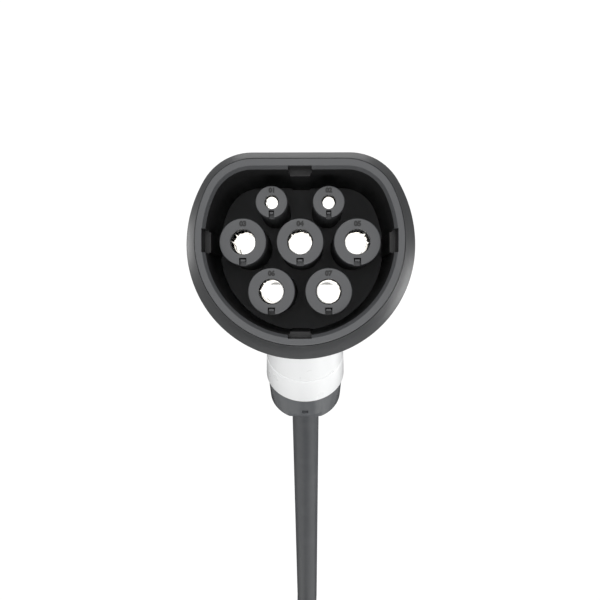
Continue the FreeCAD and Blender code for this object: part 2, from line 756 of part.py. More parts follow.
def clamp_screws():
    """Two screws that pull the saddle together."""
    up = handle_up()
    seats = [on_handle(CLAMP_S) + X_AXIS * (CLAMP_SCREW_X * x) + up * CLAMP_LUG / 2 for x in (-1, 1)]
    return Part.makeCompound([screw(seat, -up, CLAMP_SCREW_LENGTH) for seat in seats])


def bundle_places():
    """Where each conductor leaves the sheath, as (x, up) from the lead's axis."""
    order = {"l1": 18, "cp": 90, "n": 162, "l3": 234, "l2": 306}
    places = {"pe": (0.0, 0.0)}
    for name, angle in order.items():
        a = math.radians(angle)
        places[name] = (BUNDLE_RADIUS * math.cos(a), BUNDLE_RADIUS * math.sin(a))
    return places


def conductor(name):
    """Insulated conductor from its crimp barrel to the stripped end of the lead."""
    x, z, size = CONTACTS[name]
    bx, bu = bundle_places()[name]
    barrel_end = rear_of_boss() + COLLAR_LENGTH + RETAINER_THICK + size.barrel_length
    entry = on_handle(SHEATH_START_S) + X_AXIS * bx + handle_up() * bu
    points = [
        V(x, barrel_end, z),
        V(x, barrel_end + CONDUCTOR_START, z),
        entry - handle_axis() * CONDUCTOR_END,
        entry,
    ]
    solid, _ = tube(points, size.wire)
    inside = V(x, barrel_end - size.barrel_length + 0.5, z)
    core = rod(size.wire - CRIMP_WALL, inside, Y_AXIS, size.barrel_length)
    return fuse_all([solid, core])


def coding_resistor():
    """Resistor from the proximity contact to the earth conductor."""
    x, z, size = CONTACTS["pp"]
    barrel_end = rear_of_boss() + COLLAR_LENGTH + RETAINER_THICK + size.barrel_length
    heading = V(-x, 0, -z).normalize()
    corner = V(x, barrel_end + 6.5, z)
    reach = V(x, 0, z).Length - POWER.wire
    lead, _ = tube([V(x, barrel_end - 6, z), corner, corner + heading * reach], RESISTOR_LEAD_RADIUS)
    body = rod(RESISTOR_RADIUS, corner + heading * 3.4, heading, RESISTOR_LENGTH)
    return fuse_all([lead, body])


def cable_sheath_end():
    """The lead's sheath inside the handle, up to its stripped end."""
    return rod(CABLE_RADIUS, on_handle(SHEATH_START_S), handle_axis(), FREE_START_S - SHEATH_START_S)


def coil_centre():
    """Middle of the coil on the ground, from where the run reaches it."""
    last, before = RUN_POINTS[-1], RUN_POINTS[-2]
    heading = V(last.x - before.x, last.y - before.y, 0).normalize()
    radial = V(heading.y, -heading.x, 0)
    middle = last - radial * COIL_MIDDLE
    return V(middle.x, middle.y, GROUND)


def cable_coil():
    """Outer shape of the coil: three layers of flat spirals, with one turn more on top."""
    half = CABLE_RADIUS * COIL_ACROSS
    inner, outer = COIL_MIDDLE - half, COIL_MIDDLE + half
    height = 2 * CABLE_RADIUS * COIL_LAYERS
    peak = height + 2 * CABLE_RADIUS
    top_outer, top_inner = COIL_TOP_TURN + COIL_TOP_HALF, COIL_TOP_TURN - COIL_TOP_HALF
    soft = COIL_SOFT
    profile = [
        (0, inner + soft),
        (0, outer - soft),
        (soft, outer),
        (height - soft, outer),
        (height, outer - soft),
        (height, top_outer),
        (peak - soft, top_outer),
        (peak, top_outer - soft),
        (peak, top_inner + soft),
        (peak - soft, top_inner),
        (height, top_inner),
        (height, inner + soft),
        (height - soft, inner),
        (soft, inner),
    ]
    return turned(profile, coil_centre(), Z_AXIS)


def coil_surround():
    """Plain cylinder just round the coil's layers, which trims the tail."""
    radius = COIL_MIDDLE + CABLE_RADIUS * COIL_ACROSS + COIL_TRIM
    height = 2 * CABLE_RADIUS * COIL_LAYERS
    return rod(radius, coil_centre() - Z_AXIS, Z_AXIS, height + 1)


def cable_tubes(coil):
    """The uncoiled stretches, cut where they sink into the coil."""
    shapes = []
    for title, points, trim in (("run", RUN_POINTS, coil), ("tail", TAIL_POINTS, coil_surround())):
        solid, length = tube(points, CABLE_RADIUS)
        expected = math.pi * CABLE_RADIUS**2 * length
        radii = ", ".join(f"{r:.0f}" for r in bend_radii(points))
        ratio = solid.Volume / expected
        print(f"{title}: {length:.0f} mm, arc radii {radii} mm, volume {ratio:.4f} of expected")
        cut = solid.cut(trim)
        shapes.append(max(cut.Solids, key=lambda piece: piece.Volume))
    return shapes


def plug_base():
    """Where the lead enters the plug, and the plug's axis."""
    heading = (TAIL_POINTS[-1] - TAIL_POINTS[-2]).normalize()
    return TAIL_POINTS[-1], heading


def plug_start():
    """Where the plug's shell begins, along the plug's axis."""
    return PLUG_BOOT_LENGTH - PLUG_BOOT_IN_SHELL


def plug_end():
    """Where the plug's shell ends, along the plug's axis."""
    return plug_start() + PLUG_SHELL_LENGTH


def plug_boot():
    """Tapered strain relief with ring grooves."""
    base, heading = plug_base()
    start, end = -PLUG_BOOT_BEHIND, plug_start()
    tip, ring, foot = PLUG_BOOT_RADII
    profile = [(start, CABLE_RADIUS), (start, tip)]
    for i in range(PLUG_BOOT_RINGS):
        at = start + PLUG_BOOT_STEP * (i + 0.85)
        radius = ring + 0.9 * i
        groove = radius - 1.0
        profile += [(at, radius), (at + 0.6, groove), (at + 2.4, groove), (at + 3.0, radius + 0.3)]
    profile += [(end - 6, foot), (end, foot), (end, CABLE_RADIUS)]
    return turned(profile, base, heading)


def plug_shell():
    """Body of the plug, stepped for the coupling nut."""
    base, heading = plug_base()
    start, end = plug_start(), plug_end()
    step = end - PLUG_NUT_LENGTH - 1
    sleeve = PLUG_INSERT_RADIUS + PLUG_SLEEVE_WALL
    profile = [
        (start, 0),
        (start, PLUG_SHELL_RADIUS - 2.4),
        (start + 3, PLUG_SHELL_RADIUS),
        (step, PLUG_SHELL_RADIUS),
        (step, sleeve),
        (end, sleeve),
        (end, PLUG_INSERT_RADIUS),
        (end - PLUG_INSERT_THICK, PLUG_INSERT_RADIUS),
        (end - PLUG_INSERT_THICK, 0),
    ]
    return turned(profile, base, heading)


def coupling_nut():
    """Fluted ring that locks the plug."""
    base, heading = plug_base()
    end = plug_end()
    start = end - PLUG_NUT_LENGTH
    bore = PLUG_INSERT_RADIUS + PLUG_SLEEVE_WALL + PLUG_NUT_GAP
    profile = [
        (start, bore),
        (start, PLUG_NUT_RADIUS - 0.8),
        (start + 0.8, PLUG_NUT_RADIUS),
        (end - 0.8, PLUG_NUT_RADIUS),
        (end, PLUG_NUT_RADIUS - 0.8),
        (end, bore),
    ]
    body = turned(profile, base, heading)
    side = heading.cross(Z_AXIS).normalize()
    up = side.cross(heading)
    flutes = []
    for i in range(PLUG_NUT_FLUTES):
        a = 2 * math.pi * (i + 0.5) / PLUG_NUT_FLUTES
        out = side * math.cos(a) + up * math.sin(a)
        place = base + heading * (start + 2.5) + out * (PLUG_NUT_RADIUS + 0.9)
        flutes.append(rod(1.6, place, heading, PLUG_NUT_LENGTH))
    return body.cut(flutes)


def plug_insert():
    """Insulating disc that carries the plug's pins."""
    base, heading = plug_base()
    start = plug_end() - PLUG_INSERT_THICK
    disc = rod(PLUG_INSERT_RADIUS - 0.1, base + heading * start, heading, PLUG_INSERT_THICK)
    return disc.cut(plug_pins())


def plug_pins():
    """Seven pins: six on a circle and one in the middle."""
    base, heading = plug_base()
    start = plug_end() - PLUG_INSERT_THICK
    side = heading.cross(Z_AXIS).normalize()
    up = side.cross(heading)
    places = [V(0, 0, 0)]
    for i in range(6):
        a = math.radians(60 * i)
        places.append((side * math.cos(a) + up * math.sin(a)) * PLUG_PIN_CIRCLE)
    pins = []
    for offset in places:
        foot = base + heading * (start + 1.0) + offset
        tip = PLUG_PIN_LENGTH
        profile = [
            (0, 0),
            (0, PLUG_PIN_RADIUS),
            (tip - 1, PLUG_PIN_RADIUS),
            (tip, PLUG_PIN_RADIUS - 1),
            (tip, 0),
        ]
        pins.append(turned(profile, foot, heading))
    return Part.makeCompound(pins)


def build():
    """Every piece by its node name."""
    upper, lower = housing_shells()
    saddle, clamp_base = clamp_halves()
    coil = cable_coil()
    run, tail = cable_tubes(coil)
    pieces = {
        "mating_shroud": mating_shroud(),
        "front_bezel": front_bezel(),
        "bezel_gasket": bezel_gasket(),
        "contact_carrier": contact_carrier(),
        "contact_towers": contact_towers(),
        "contact_springs": contact_springs(),
        "contact_retainer": contact_retainer(),
        "retainer_screws": retainer_screws(),
        "upper_shell": upper,
        "lower_shell": lower,
        "shell_screws": shell_screws(),
        "grip_end_ring": grip_end_ring(),
        "gland_collar": gland_collar(),
        "clamping_insert": clamping_insert(),
        "clamp_saddle": saddle,
        "clamp_base": clamp_base,
        "clamp_screws": clamp_screws(),
        "coding_resistor": coding_resistor(),
        "cable_sheath_end": cable_sheath_end(),
        "cable_run": run,
        "cable_coil": coil,
        "cable_tail": tail,
        "plug_boot": plug_boot(),
        "plug_shell": plug_shell(),
        "coupling_nut": coupling_nut(),
        "plug_insert": plug_insert(),
        "plug_pins": plug_pins(),
    }
    for name in CONTACTS:
        pieces[f"contact_{name}"] = contact_socket(name)
        if name != "pp":
            pieces[f"conductor_{name}"] = conductor(name)
    return pieces


os.makedirs("parts", exist_ok=True)
for node, shape in build().items():
    if not shape.isValid():
        print(f"{node}: not valid")
    print(f"{node}: {len(shape.Solids)} solids, {shape.Volume / 1000:.2f} cm3")
    shape.exportStep(f"parts/{node}.step")
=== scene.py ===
"""Looks of a seven-contact charging connector and its lead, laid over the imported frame.

Sizes in the classes are millimetres; every mesh is made in metres, in the frame of the CAD:
origin on the centre contact's axis in the rim plane, +Y back into the connector, +Z up.
"""

import json
import logging
import math
from dataclasses import dataclass
from enum import Enum
from typing import Any, Iterable, Sequence

import bmesh
import bpy
from mathutils import Matrix, Vector


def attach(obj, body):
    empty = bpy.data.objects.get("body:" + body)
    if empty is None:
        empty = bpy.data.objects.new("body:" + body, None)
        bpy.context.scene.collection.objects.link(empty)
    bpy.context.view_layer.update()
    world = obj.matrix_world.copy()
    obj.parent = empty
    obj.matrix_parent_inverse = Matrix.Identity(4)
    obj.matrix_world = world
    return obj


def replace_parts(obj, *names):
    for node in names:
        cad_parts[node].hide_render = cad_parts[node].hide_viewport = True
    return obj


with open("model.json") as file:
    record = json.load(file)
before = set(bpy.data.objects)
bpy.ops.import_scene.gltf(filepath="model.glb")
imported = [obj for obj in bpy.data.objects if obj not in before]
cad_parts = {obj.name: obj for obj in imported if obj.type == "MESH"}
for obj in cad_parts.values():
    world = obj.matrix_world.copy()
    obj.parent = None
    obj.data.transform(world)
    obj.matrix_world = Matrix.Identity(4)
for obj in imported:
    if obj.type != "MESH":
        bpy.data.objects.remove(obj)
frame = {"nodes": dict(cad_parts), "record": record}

Piece = bpy.types.Object
Mesh = bpy.types.Mesh
Material = bpy.types.Material
Tree = bpy.types.NodeTree
Node = bpy.types.Node
Socket = bpy.types.NodeSocket
Point = tuple[float, float]
Corner = tuple[float, float, float]

MM = 0.001
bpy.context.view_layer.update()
LOG = logging.getLogger("charging_connector")
ORIGIN = Vector((0, 0, 0))
X_AXIS = Vector((1, 0, 0))
Y_AXIS = Vector((0, 1, 0))
Z_AXIS = Vector((0, 0, 1))
OVERCUT = 1.0  # how far a cutting tool stands out of the piece
SLIP = 0.01  # keeps two faces out of one plane
CRISP = 35.0  # degrees; sharper edges stay crisp on turned pieces
WHITE = (1.0, 1.0, 1.0, 1.0)
WAVE_RATE = 20.0  # radians of a wave texture for each unit of its scale


class Slot(Enum):
    """Material slots of the record."""

    HEAD = "head_plastic"
    INSULATOR = "insulator_plastic"
    GRIP = "grip_plastic"
    GLAND = "gland_plastic"
    SILVER = "contact_silver"
    SPRING = "spring_steel"
    SCREW = "screw_steel"
    SEAL = "seal_rubber"
    CLAMP = "clamp_plastic"
    SHEATH = "cable_sheath"
    BROWN = "wire_brown"
    BLACK = "wire_black"
    GREY = "wire_grey"
    BLUE = "wire_blue"
    EARTH = "wire_green_yellow"
    SIGNAL = "wire_signal"
    RESISTOR = "resistor_body"
    PLUG = "plug_plastic"
    PLUG_PIN = "plug_pin_metal"


def linear(colour: str) -> tuple[float, float, float, float]:
    """Turn an sRGB hex colour into linear RGBA.

    Args:
        colour: six hex digits, such as "5f6163".

    Returns:
        Linear red, green, blue and an alpha of one.
    """
    parts = [int(colour[i : i + 2], 16) / 255 for i in (0, 2, 4)]
    red, green, blue = (c / 12.92 if c <= 0.04045 else ((c + 0.055) / 1.055) ** 2.4 for c in parts)
    return red, green, blue, 1.0


def add_node(tree: Tree, kind: str, inputs: dict[Any, Any] | None = None, **settings: Any) -> Node:
    """Add one node with its settings and links.

    Args:
        tree: the tree to add to.
        kind: the node's type name.
        inputs: value or linked socket for each input, by name or number.
        **settings: the node's own properties.

    Returns:
        The new node.
    """
    node = tree.nodes.new(kind)
    for name, value in settings.items():
        setattr(node, name, value)
    for key, value in (inputs or {}).items():
        if isinstance(value, Socket):
            tree.links.new(value, node.inputs[key])
        else:
            node.inputs[key].default_value = value
    return node


@dataclass(frozen=True)
class Finish:
    """A surface whose colour drifts between two shades; each kind adds its drift and relief."""

    name: str
    colour: str
    shade: str

    def surface(self, tree: Tree, where: Any) -> tuple[Socket, dict[str, Any]]:
        """Nodes that each kind of surface has of its own.

        Args:
            tree: the material's tree.
            where: outputs of its texture coordinates.

        Returns:
            How far the colour drifts to its second shade, and the shader's inputs by name.
        """
        raise NotImplementedError(self.name)

    def paint(self, tree: Tree, where: Any, drift: Socket) -> Socket:
        """The two shades, mixed by the drift."""
        shades = {0: drift, 6: linear(self.colour), 7: linear(self.shade)}
        return add_node(tree, "ShaderNodeMix", shades, data_type="RGBA").outputs[2]

    def make(self) -> Material:
        """Build the material.

        Returns:
            The material, with a principled shader.
        """
        material = bpy.data.materials.new(self.name)
        material.use_nodes = True
        tree = material.node_tree
        tree.nodes.clear()
        where = add_node(tree, "ShaderNodeTexCoord").outputs
        drift, inputs = self.surface(tree, where)
        inputs["Base Color"] = self.paint(tree, where, drift)
        shader = add_node(tree, "ShaderNodeBsdfPrincipled", inputs)
        add_node(tree, "ShaderNodeOutputMaterial", {"Surface": shader.outputs[0]})
        return material


@dataclass(frozen=True)
class Moulded(Finish):
    """Injection-moulded polymer: eroded tool texture, faint flow mottling, uneven sheen."""

    roughness: Point
    ior: float
    grain: float  # mm between peaks
    depth: float  # mm
    coat: float = 0.0
    core: str = ""  # colour of painted shade on the walls deep in a recess
    painted_shade_depth: float = 0.0  # mm along Y where the painted shade begins
    painted_shade_fade: float = 0.2  # mm over which the painted shade fades in
    clouds: float = 14.0  # mm across a cloud of the second shade
    patches: float = 6.0  # mm across a duller patch
    coat_roughness: float = 0.12

    def surface(self, tree: Tree, where: Any) -> tuple[Socket, dict[str, Any]]:
        """Mottling, patches of sheen and the grain of the tool.

        Args:
            tree: the material's tree.
            where: outputs of its texture coordinates.

        Returns:
            The drift of the colour, and the shader's inputs by name.
        """
        place, (low, high) = where["Object"], self.roughness
        cloud = add_node(tree, "ShaderNodeTexNoise", {"Vector": place, "Scale": 1 / (self.clouds * MM), "Detail": 4.0})
        patch = add_node(tree, "ShaderNodeTexNoise", {"Vector": place, "Scale": 1 / (self.patches * MM), "Detail": 2.0})
        sheen = add_node(tree, "ShaderNodeMapRange", {"Value": patch.outputs[0], "To Min": low, "To Max": high})
        pits = {"Vector": place, "Scale": 1 / (self.grain * MM), "Detail": 2.0, "Roughness": 0.6}
        grain = add_node(tree, "ShaderNodeTexNoise", pits)
        bump = add_node(tree, "ShaderNodeBump", {"Height": grain.outputs[0], "Distance": self.depth * MM})
        coat = {"Coat Weight": self.coat, "Coat Roughness": self.coat_roughness}
        return cloud.outputs[0], {"Roughness": sheen.outputs[0], "Normal": bump.outputs[0], "IOR": self.ior, **coat}

    def paint(self, tree: Tree, where: Any, drift: Socket) -> Socket:
        """The two shades and, deeper than its edge, a near black colour painted as the shade of a recess.

        Args:
            tree: the material's tree.
            where: outputs of its texture coordinates.
            drift: how far the colour drifts to its second shade.

        Returns:
            The colour.
        """
        colour = super().paint(tree, where, drift)
        if not self.core:
            return colour
        # Painted shade: past a depth along Y the colour is mixed to the near black one, standing in for the shade
        # inside the recess.
        depth = add_node(tree, "ShaderNodeSeparateXYZ", {0: where["Object"]}).outputs["Y"]
        start = self.painted_shade_depth * MM
        fade = {"Value": depth, "From Min": start, "From Max": start + self.painted_shade_fade * MM}
        inside = add_node(tree, "ShaderNodeMapRange", fade)
        sides = {0: inside.outputs[0], 6: colour, 7: linear(self.core)}
        return add_node(tree, "ShaderNodeMix", sides, data_type="RGBA").outputs[2]


@dataclass(frozen=True)
class TurnedMetal(Finish):
    """Turned and plated metal: fine feed marks round the axis and light tarnish in patches."""

    roughness: float
    feed: float  # mm; the marks are drawn 2 pi times as far apart, so that they show
    depth: float  # mm
    patches: float = 3.0  # mm across a tarnished patch

    def surface(self, tree: Tree, where: Any) -> tuple[Socket, dict[str, Any]]:
        """Tarnish and tool marks.

        Args:
            tree: the material's tree.
            where: outputs of its texture coordinates.

        Returns:
            The drift of the colour, and the shader's inputs by name.
        """
        place = where["Object"]
        patch = add_node(tree, "ShaderNodeTexNoise", {"Vector": place, "Scale": 1 / (self.patches * MM), "Detail": 3.0})
        some = {"Value": patch.outputs[0], "From Min": 0.5, "From Max": 0.8, "To Max": 0.5}
        drift = add_node(tree, "ShaderNodeMapRange", some)
        feed = {"Vector": place, "Scale": 1 / (WAVE_RATE * self.feed * MM), "Distortion": 0.4}
        marks = add_node(tree, "ShaderNodeTexWave", feed, bands_direction="Y")
        bump = add_node(tree, "ShaderNodeBump", {"Height": marks.outputs["Fac"], "Distance": self.depth * MM})
        return drift.outputs[0], {"Metallic": 1.0, "Roughness": self.roughness, "Normal": bump.outputs[0]}


@dataclass(frozen=True)
class Extruded(Finish):
    """Extruded sheath: fine die lines along its length, dull, with a little dust and scuffing."""

    roughness: Point
    lines: int  # die lines round the sheath
    length: float  # mm of sheath
    line_length: float = 40.0  # mm before a die line fades
    scuffs: float = 9.0  # mm across a scuffed patch
    grain: float = 0.5  # mm between peaks
    depth: float = 0.03  # mm
    ior: float = 1.5

    def surface(self, tree: Tree, where: Any) -> tuple[Socket, dict[str, Any]]:
        """Scuffs, die lines that follow the sheath and a fine grain.

        Args:
            tree: the material's tree.
            where: outputs of its texture coordinates.

        Returns:
            The drift of the colour, and the shader's inputs by name.
        """
        place, (low, high) = where["Object"], self.roughness
        stretch = {"Vector": where["UV"], "Scale": (self.length / self.line_length, self.lines, 1)}
        along = add_node(tree, "ShaderNodeMapping", stretch)
        die = add_node(tree, "ShaderNodeTexNoise", {"Vector": along.outputs[0], "Scale": 1.0, "Detail": 2.0})
        worn = {"Vector": place, "Scale": 1 / (self.scuffs * MM), "Detail": 6.0, "Roughness": 0.65}
        scuff = add_node(tree, "ShaderNodeTexNoise", worn)
        some = {"Value": scuff.outputs[0], "From Min": 0.45, "From Max": 0.75, "To Max": 0.6}
        drift = add_node(tree, "ShaderNodeMapRange", some)
        sheen = add_node(tree, "ShaderNodeMapRange", {"Value": scuff.outputs[0], "To Min": low, "To Max": high})
        grain = add_node(tree, "ShaderNodeTexNoise", {"Vector": place, "Scale": 1 / (self.grain * MM), "Detail": 1.0})
        height = add_node(tree, "ShaderNodeMath", {0: die.outputs[0], 1: grain.outputs[0]}, operation="ADD")
        relief = {"Height": height.outputs[0], "Distance": self.depth * MM, "Strength": 0.6}
        bump = add_node(tree, "ShaderNodeBump", relief)
        return drift.outputs[0], {"Roughness": sheen.outputs[0], "Normal": bump.outputs[0], "IOR": self.ior}


@dataclass(frozen=True)
class TwoColour(Finish):
    """Insulation with stripes of a second colour along it."""

    stripe: float  # mm; a pair of stripes takes 2 pi times as much
    roughness: float = 0.4

    def surface(self, tree: Tree, where: Any) -> tuple[Socket, dict[str, Any]]:
        """Stripes with sharp edges.

        Args:
            tree: the material's tree.
            where: outputs of its texture coordinates.

        Returns:
            The drift of the colour, and the shader's inputs by name.
        """
        bands = {"Vector": where["Object"], "Scale": 1 / (WAVE_RATE * self.stripe * MM), "Distortion": 0.0}
        wave = add_node(tree, "ShaderNodeTexWave", bands)
        sharp = add_node(tree, "ShaderNodeMapRange", {"Value": wave.outputs["Fac"], "From Min": 0.45, "From Max": 0.55})
        return sharp.outputs[0], {"Roughness": self.roughness}


# Glass-filled polyamide from a spark-eroded tool: dark grey and satin, with a fine even grain;
# deeper than 1.25 mm its colour turns nearly black, painted shade for the walls inside the recess.
HEAD_NYLON = Moulded(
    "glass_filled_nylon_eroded", "4b4c4e", "454648", (0.38, 0.46), 1.5, 0.35, 0.015, core="212122", painted_shade_depth=1.25
)
# The collar's nylon, a darker batch from a finer blasted tool.
BEZEL_NYLON = Moulded("glass_filled_nylon_blasted", "3d3e40", "38393b", (0.36, 0.44), 1.5, 0.35, 0.015)
# Thermoplastic polyester insulator from a smoother tool: slightly darker, with a shallower grain.
INSULATOR_PBT = Moulded("pbt_polyester_satin", "464749", "414244", (0.38, 0.48), 1.55, 0.3, 0.01)
# Polyester of the recess floor, moulded against a textured core: duller, and paler than the towers as painted light
# reaching the floor.
RECESS_PBT_PAINTED_LIGHT = Moulded("pbt_polyester_grained", "58595b", "545557", (0.5, 0.6), 1.5, 0.3, 0.01)
# White ABS from a polished tool: bright, with a clear soft gloss.
GRIP_ABS = Moulded("white_abs_polished", "f4f5f6", "f2f3f4", (0.26, 0.3), 1.54, 0.6, 0.004, 0.25)
# Polyamide gland from a lightly blasted tool: mid grey, with a clear sheen.
GLAND_NYLON = Moulded("gland_nylon_blasted", "66686b", "5c5e61", (0.14, 0.2), 1.53, 0.4, 0.012)
# Glass-filled clamp: black and dull.
CLAMP_NYLON = Moulded("clamp_nylon_glass_filled", "262626", "2e2e2e", (0.5, 0.65), 1.53, 0.5, 0.02)
# EPDM rubber, compression moulded: near black and dull.
SEAL_EPDM = Moulded("epdm_rubber_moulded", "1d1d1e", "242425", (0.65, 0.8), 1.52, 0.5, 0.02)
# Black ABS of the far plug from a textured tool: dark and satin.
PLUG_ABS = Moulded("black_abs_textured", "2a2b2c", "303132", (0.4, 0.52), 1.54, 0.5, 0.02)
# Lacquered ceramic resistor: pale blue, glossy.
RESISTOR_LACQUER = Moulded("resistor_lacquer", "9fb7c4", "8fabba", (0.2, 0.3), 1.5, 0.5, 0.01)
# Silver-plated brass, turned: near mirror, so the bore shows the white of the room.
CONTACT_SILVER = TurnedMetal("silver_plate_turned", "fdfcfa", "faf8f4", 0.04, 0.3, 0.0001)
# Stainless spring strip: bright and grey.
SPRING_STEEL = TurnedMetal("stainless_spring_strip", "c9c9c7", "b5b4b0", 0.25, 0.2, 0.001)
# Zinc-plated steel screws: pale grey with a faint blue cast.
SCREW_ZINC = TurnedMetal("zinc_plated_steel", "c6cad0", "a9aeb6", 0.3, 0.25, 0.001)
# Nickel-plated brass pins of the far plug: bright, with a warm cast.
PIN_NICKEL = TurnedMetal("nickel_plate_turned", "d9d5cc", "c4beb2", 0.16, 0.3, 0.0006)
# Polyurethane sheath, extruded: dark grey with a dull gloss and fine lines along it.
SHEATH_TPU = Extruded("tpu_sheath_extruded", "4a4c4f", "58595c", (0.3, 0.42), 36, 5100.0)
# Soft PVC insulation by colour: satin and even.
WIRE_FINISHES = {
    Slot.BROWN: Moulded("pvc_insulation_brown", "5a3a22", "64412a", (0.35, 0.45), 1.53, 0.4, 0.01),
    Slot.BLACK: Moulded("pvc_insulation_black", "1c1c1c", "242424", (0.35, 0.45), 1.53, 0.4, 0.01),
    Slot.GREY: Moulded("pvc_insulation_grey", "8d8f92", "85878a", (0.35, 0.45), 1.53, 0.4, 0.01),
    Slot.BLUE: Moulded("pvc_insulation_blue", "2a6ab0", "2562a4", (0.35, 0.45), 1.53, 0.4, 0.01),
    Slot.SIGNAL: Moulded("pvc_insulation_cream", "d8d2c2", "cfc9b8", (0.35, 0.45), 1.53, 0.4, 0.01),
    Slot.EARTH: TwoColour("pvc_insulation_green_yellow", "3f8f3a", "e0cf2e", 1.6),
}
# Pad-printed ink of the contact numbers: near black.
PRINT_INK = Moulded("pad_print_ink", "0d0d0e", "111112", (0.5, 0.6), 1.5, 0.4, 0.004)
# Matt backdrop board of the studio floor: pale grey.
FLOOR_BOARD = Moulded("matt_floor_board", "d6d6d4", "d2d2d0", (0.8, 0.9), 1.45, 2.0, 0.05)

FINISHES: dict[Slot, Finish] = {
    Slot.HEAD: HEAD_NYLON,
    Slot.INSULATOR: INSULATOR_PBT,
    Slot.GRIP: GRIP_ABS,
    Slot.GLAND: GLAND_NYLON,
    Slot.SILVER: CONTACT_SILVER,
    Slot.SPRING: SPRING_STEEL,
    Slot.SCREW: SCREW_ZINC,
    Slot.SEAL: SEAL_EPDM,
    Slot.CLAMP: CLAMP_NYLON,
    Slot.SHEATH: SHEATH_TPU,
    Slot.RESISTOR: RESISTOR_LACQUER,
    Slot.PLUG: PLUG_ABS,
    Slot.PLUG_PIN: PIN_NICKEL,
    **WIRE_FINISHES,
}


class Palette:
    """Materials made once each, by name."""

    def __init__(self) -> None:
        """Start empty."""
        self._made: dict[str, Material] = {}

    def get(self, finish: Finish) -> Material:
        """The material of a finish, made at its first use.

        Args:
            finish: the finish.

        Returns:
            Its material.
        """
        if finish.name not in self._made:
            self._made[finish.name] = finish.make()
        return self._made[finish.name]


PALETTE = Palette()


def put_in_scene(name: str, data: Any) -> Piece:
    """Make an object and link it into the scene.

    Args:
        name: the object's name.
        data: its mesh, curve, camera or light.

    Returns:
        The object.
    """
    piece = bpy.data.objects.new(name, data)
    bpy.context.scene.collection.objects.link(piece)
    return piece


def discard(piece: Piece) -> None:
    """Remove a helper object."""
    bpy.data.objects.remove(piece, do_unlink=True)


def mesh_piece(name: str, points: Iterable[Vector], faces: Sequence[Sequence[int]]) -> Piece:
    """Make a closed mesh object from points in millimetres.

    Args:
        name: the object's name.
        points: corners in millimetres.
        faces: corner numbers of each face.

    Returns:
        The object, its doubles merged and its faces turned outwards.
    """
    mesh = bpy.data.meshes.new(name)
    mesh.from_pydata([tuple(p * MM) for p in points], [], faces)
    work = bmesh.new()
    work.from_mesh(mesh)
    bmesh.ops.remove_doubles(work, verts=work.verts, dist=0.002 * MM)
    bmesh.ops.dissolve_degenerate(work, edges=work.edges, dist=0.001 * MM)
    bmesh.ops.recalc_face_normals(work, faces=work.faces)
    work.to_mesh(mesh)
    work.free()
    return put_in_scene(name, mesh)


def loft(name: str, rings: Sequence[Sequence[Vector]], wrap: bool) -> Piece:
    """Join closed rings of equal count by quads.

    Args:
        name: the object's name.
        rings: points of each ring, in order, in millimetres.
        wrap: join the last ring to the first; otherwise both ends are capped.

    Returns:
        A closed mesh object.
    """
    count = len(rings[0])
    steps = len(rings) if wrap else len(rings) - 1
    faces = []
    for i in range(steps):
        a, b = i * count, (i + 1) % len(rings) * count
        for j in range(count):
            k = (j + 1) % count
            faces.append((a + j, a + k, b + k, b + j))
    if not wrap:
        faces.append(tuple(range(count)))
        faces.append(tuple(range((len(rings) - 1) * count, len(rings) * count)))
    return mesh_piece(name, [p for ring in rings for p in ring], faces)


def turned(name: str, profile: Sequence[Point], base: Vector, axis: Vector, steps: int = 96) -> Piece:
    """Turn a closed profile about an axis.

    Args:
        name: the object's name.
        profile: (distance along the axis, radius) corners of a closed outline, in millimetres.
        base: where distance is zero.
        axis: unit vector of the axis.
        steps: divisions round the axis.

    Returns:
        A closed mesh object.
    """
    side = axis.orthogonal().normalized()
    other = axis.cross(side)
    rings = []
    for i in range(steps):
        a = 2 * math.pi * i / steps
        out = side * math.cos(a) + other * math.sin(a)
        rings.append([base + axis * along + out * radius for along, radius in profile])
    return loft(name, rings, True)


def rounded(corners: Sequence[Corner], steps: int = 4) -> list[Point]:
    """Round the corners of a closed profile.

    Args:
        corners: (along, radius, fillet) of each corner.
        steps: segments in each fillet.

    Returns:
        The profile's points.
    """
    points: list[Point] = []
    for i, (x, y, fillet) in enumerate(corners):
        here = Vector((x, y))
        before = Vector(corners[i - 1][:2]) - here
        after = Vector(corners[(i + 1) % len(corners)][:2]) - here
        if fillet <= 0 or before.length < 1e-6 or after.length < 1e-6:
            points.append((x, y))
            continue
        half = before.angle(after) / 2
        back = min(fillet / math.tan(half), 0.49 * before.length, 0.49 * after.length)
        first, last = here + before.normalized() * back, here + after.normalized() * back
        for k in range(steps + 1):
            t = k / steps
            spot = first * (1 - t) ** 2 + here * (2 * t * (1 - t)) + last * t**2
            points.append((spot.x, spot.y))
    return points


def quarter_turn(steps: int = 5) -> list[float]:
    """Angles from zero to a right angle, in equal steps."""
    return [math.pi / 2 * k / steps for k in range(steps + 1)]


def box(name: str, low: Vector, high: Vector, turn: Matrix | None = None) -> Piece:
    """Make a block, for cutting or joining.

    Args:
        name: the object's name.
        low: its lowest corner.
        high: its highest corner.
        turn: matrix that places it, if it isn't where its corners say.

    Returns:
        A closed mesh object.
    """
    points = [Vector((x, y, z)) for x in (low.x, high.x) for y in (low.y, high.y) for z in (low.z, high.z)]
    if turn is not None:
        points = [turn @ p for p in points]
    faces = [(0, 1, 3, 2), (4, 6, 7, 5), (0, 4, 5, 1), (2, 3, 7, 6), (0, 2, 6, 4), (1, 5, 7, 3)]
    return mesh_piece(name, points, faces)


def bake(piece: Piece) -> Piece:
    """Turn an object's modifiers into its mesh.

    Args:
        piece: the object.

    Returns:
        The same object with a plain mesh.
    """
    bpy.context.view_layer.update()
    graph = bpy.context.evaluated_depsgraph_get()
    mesh = bpy.data.meshes.new_from_object(piece.evaluated_get(graph), depsgraph=graph)
    piece.modifiers.clear()
    piece.data = mesh
    return piece


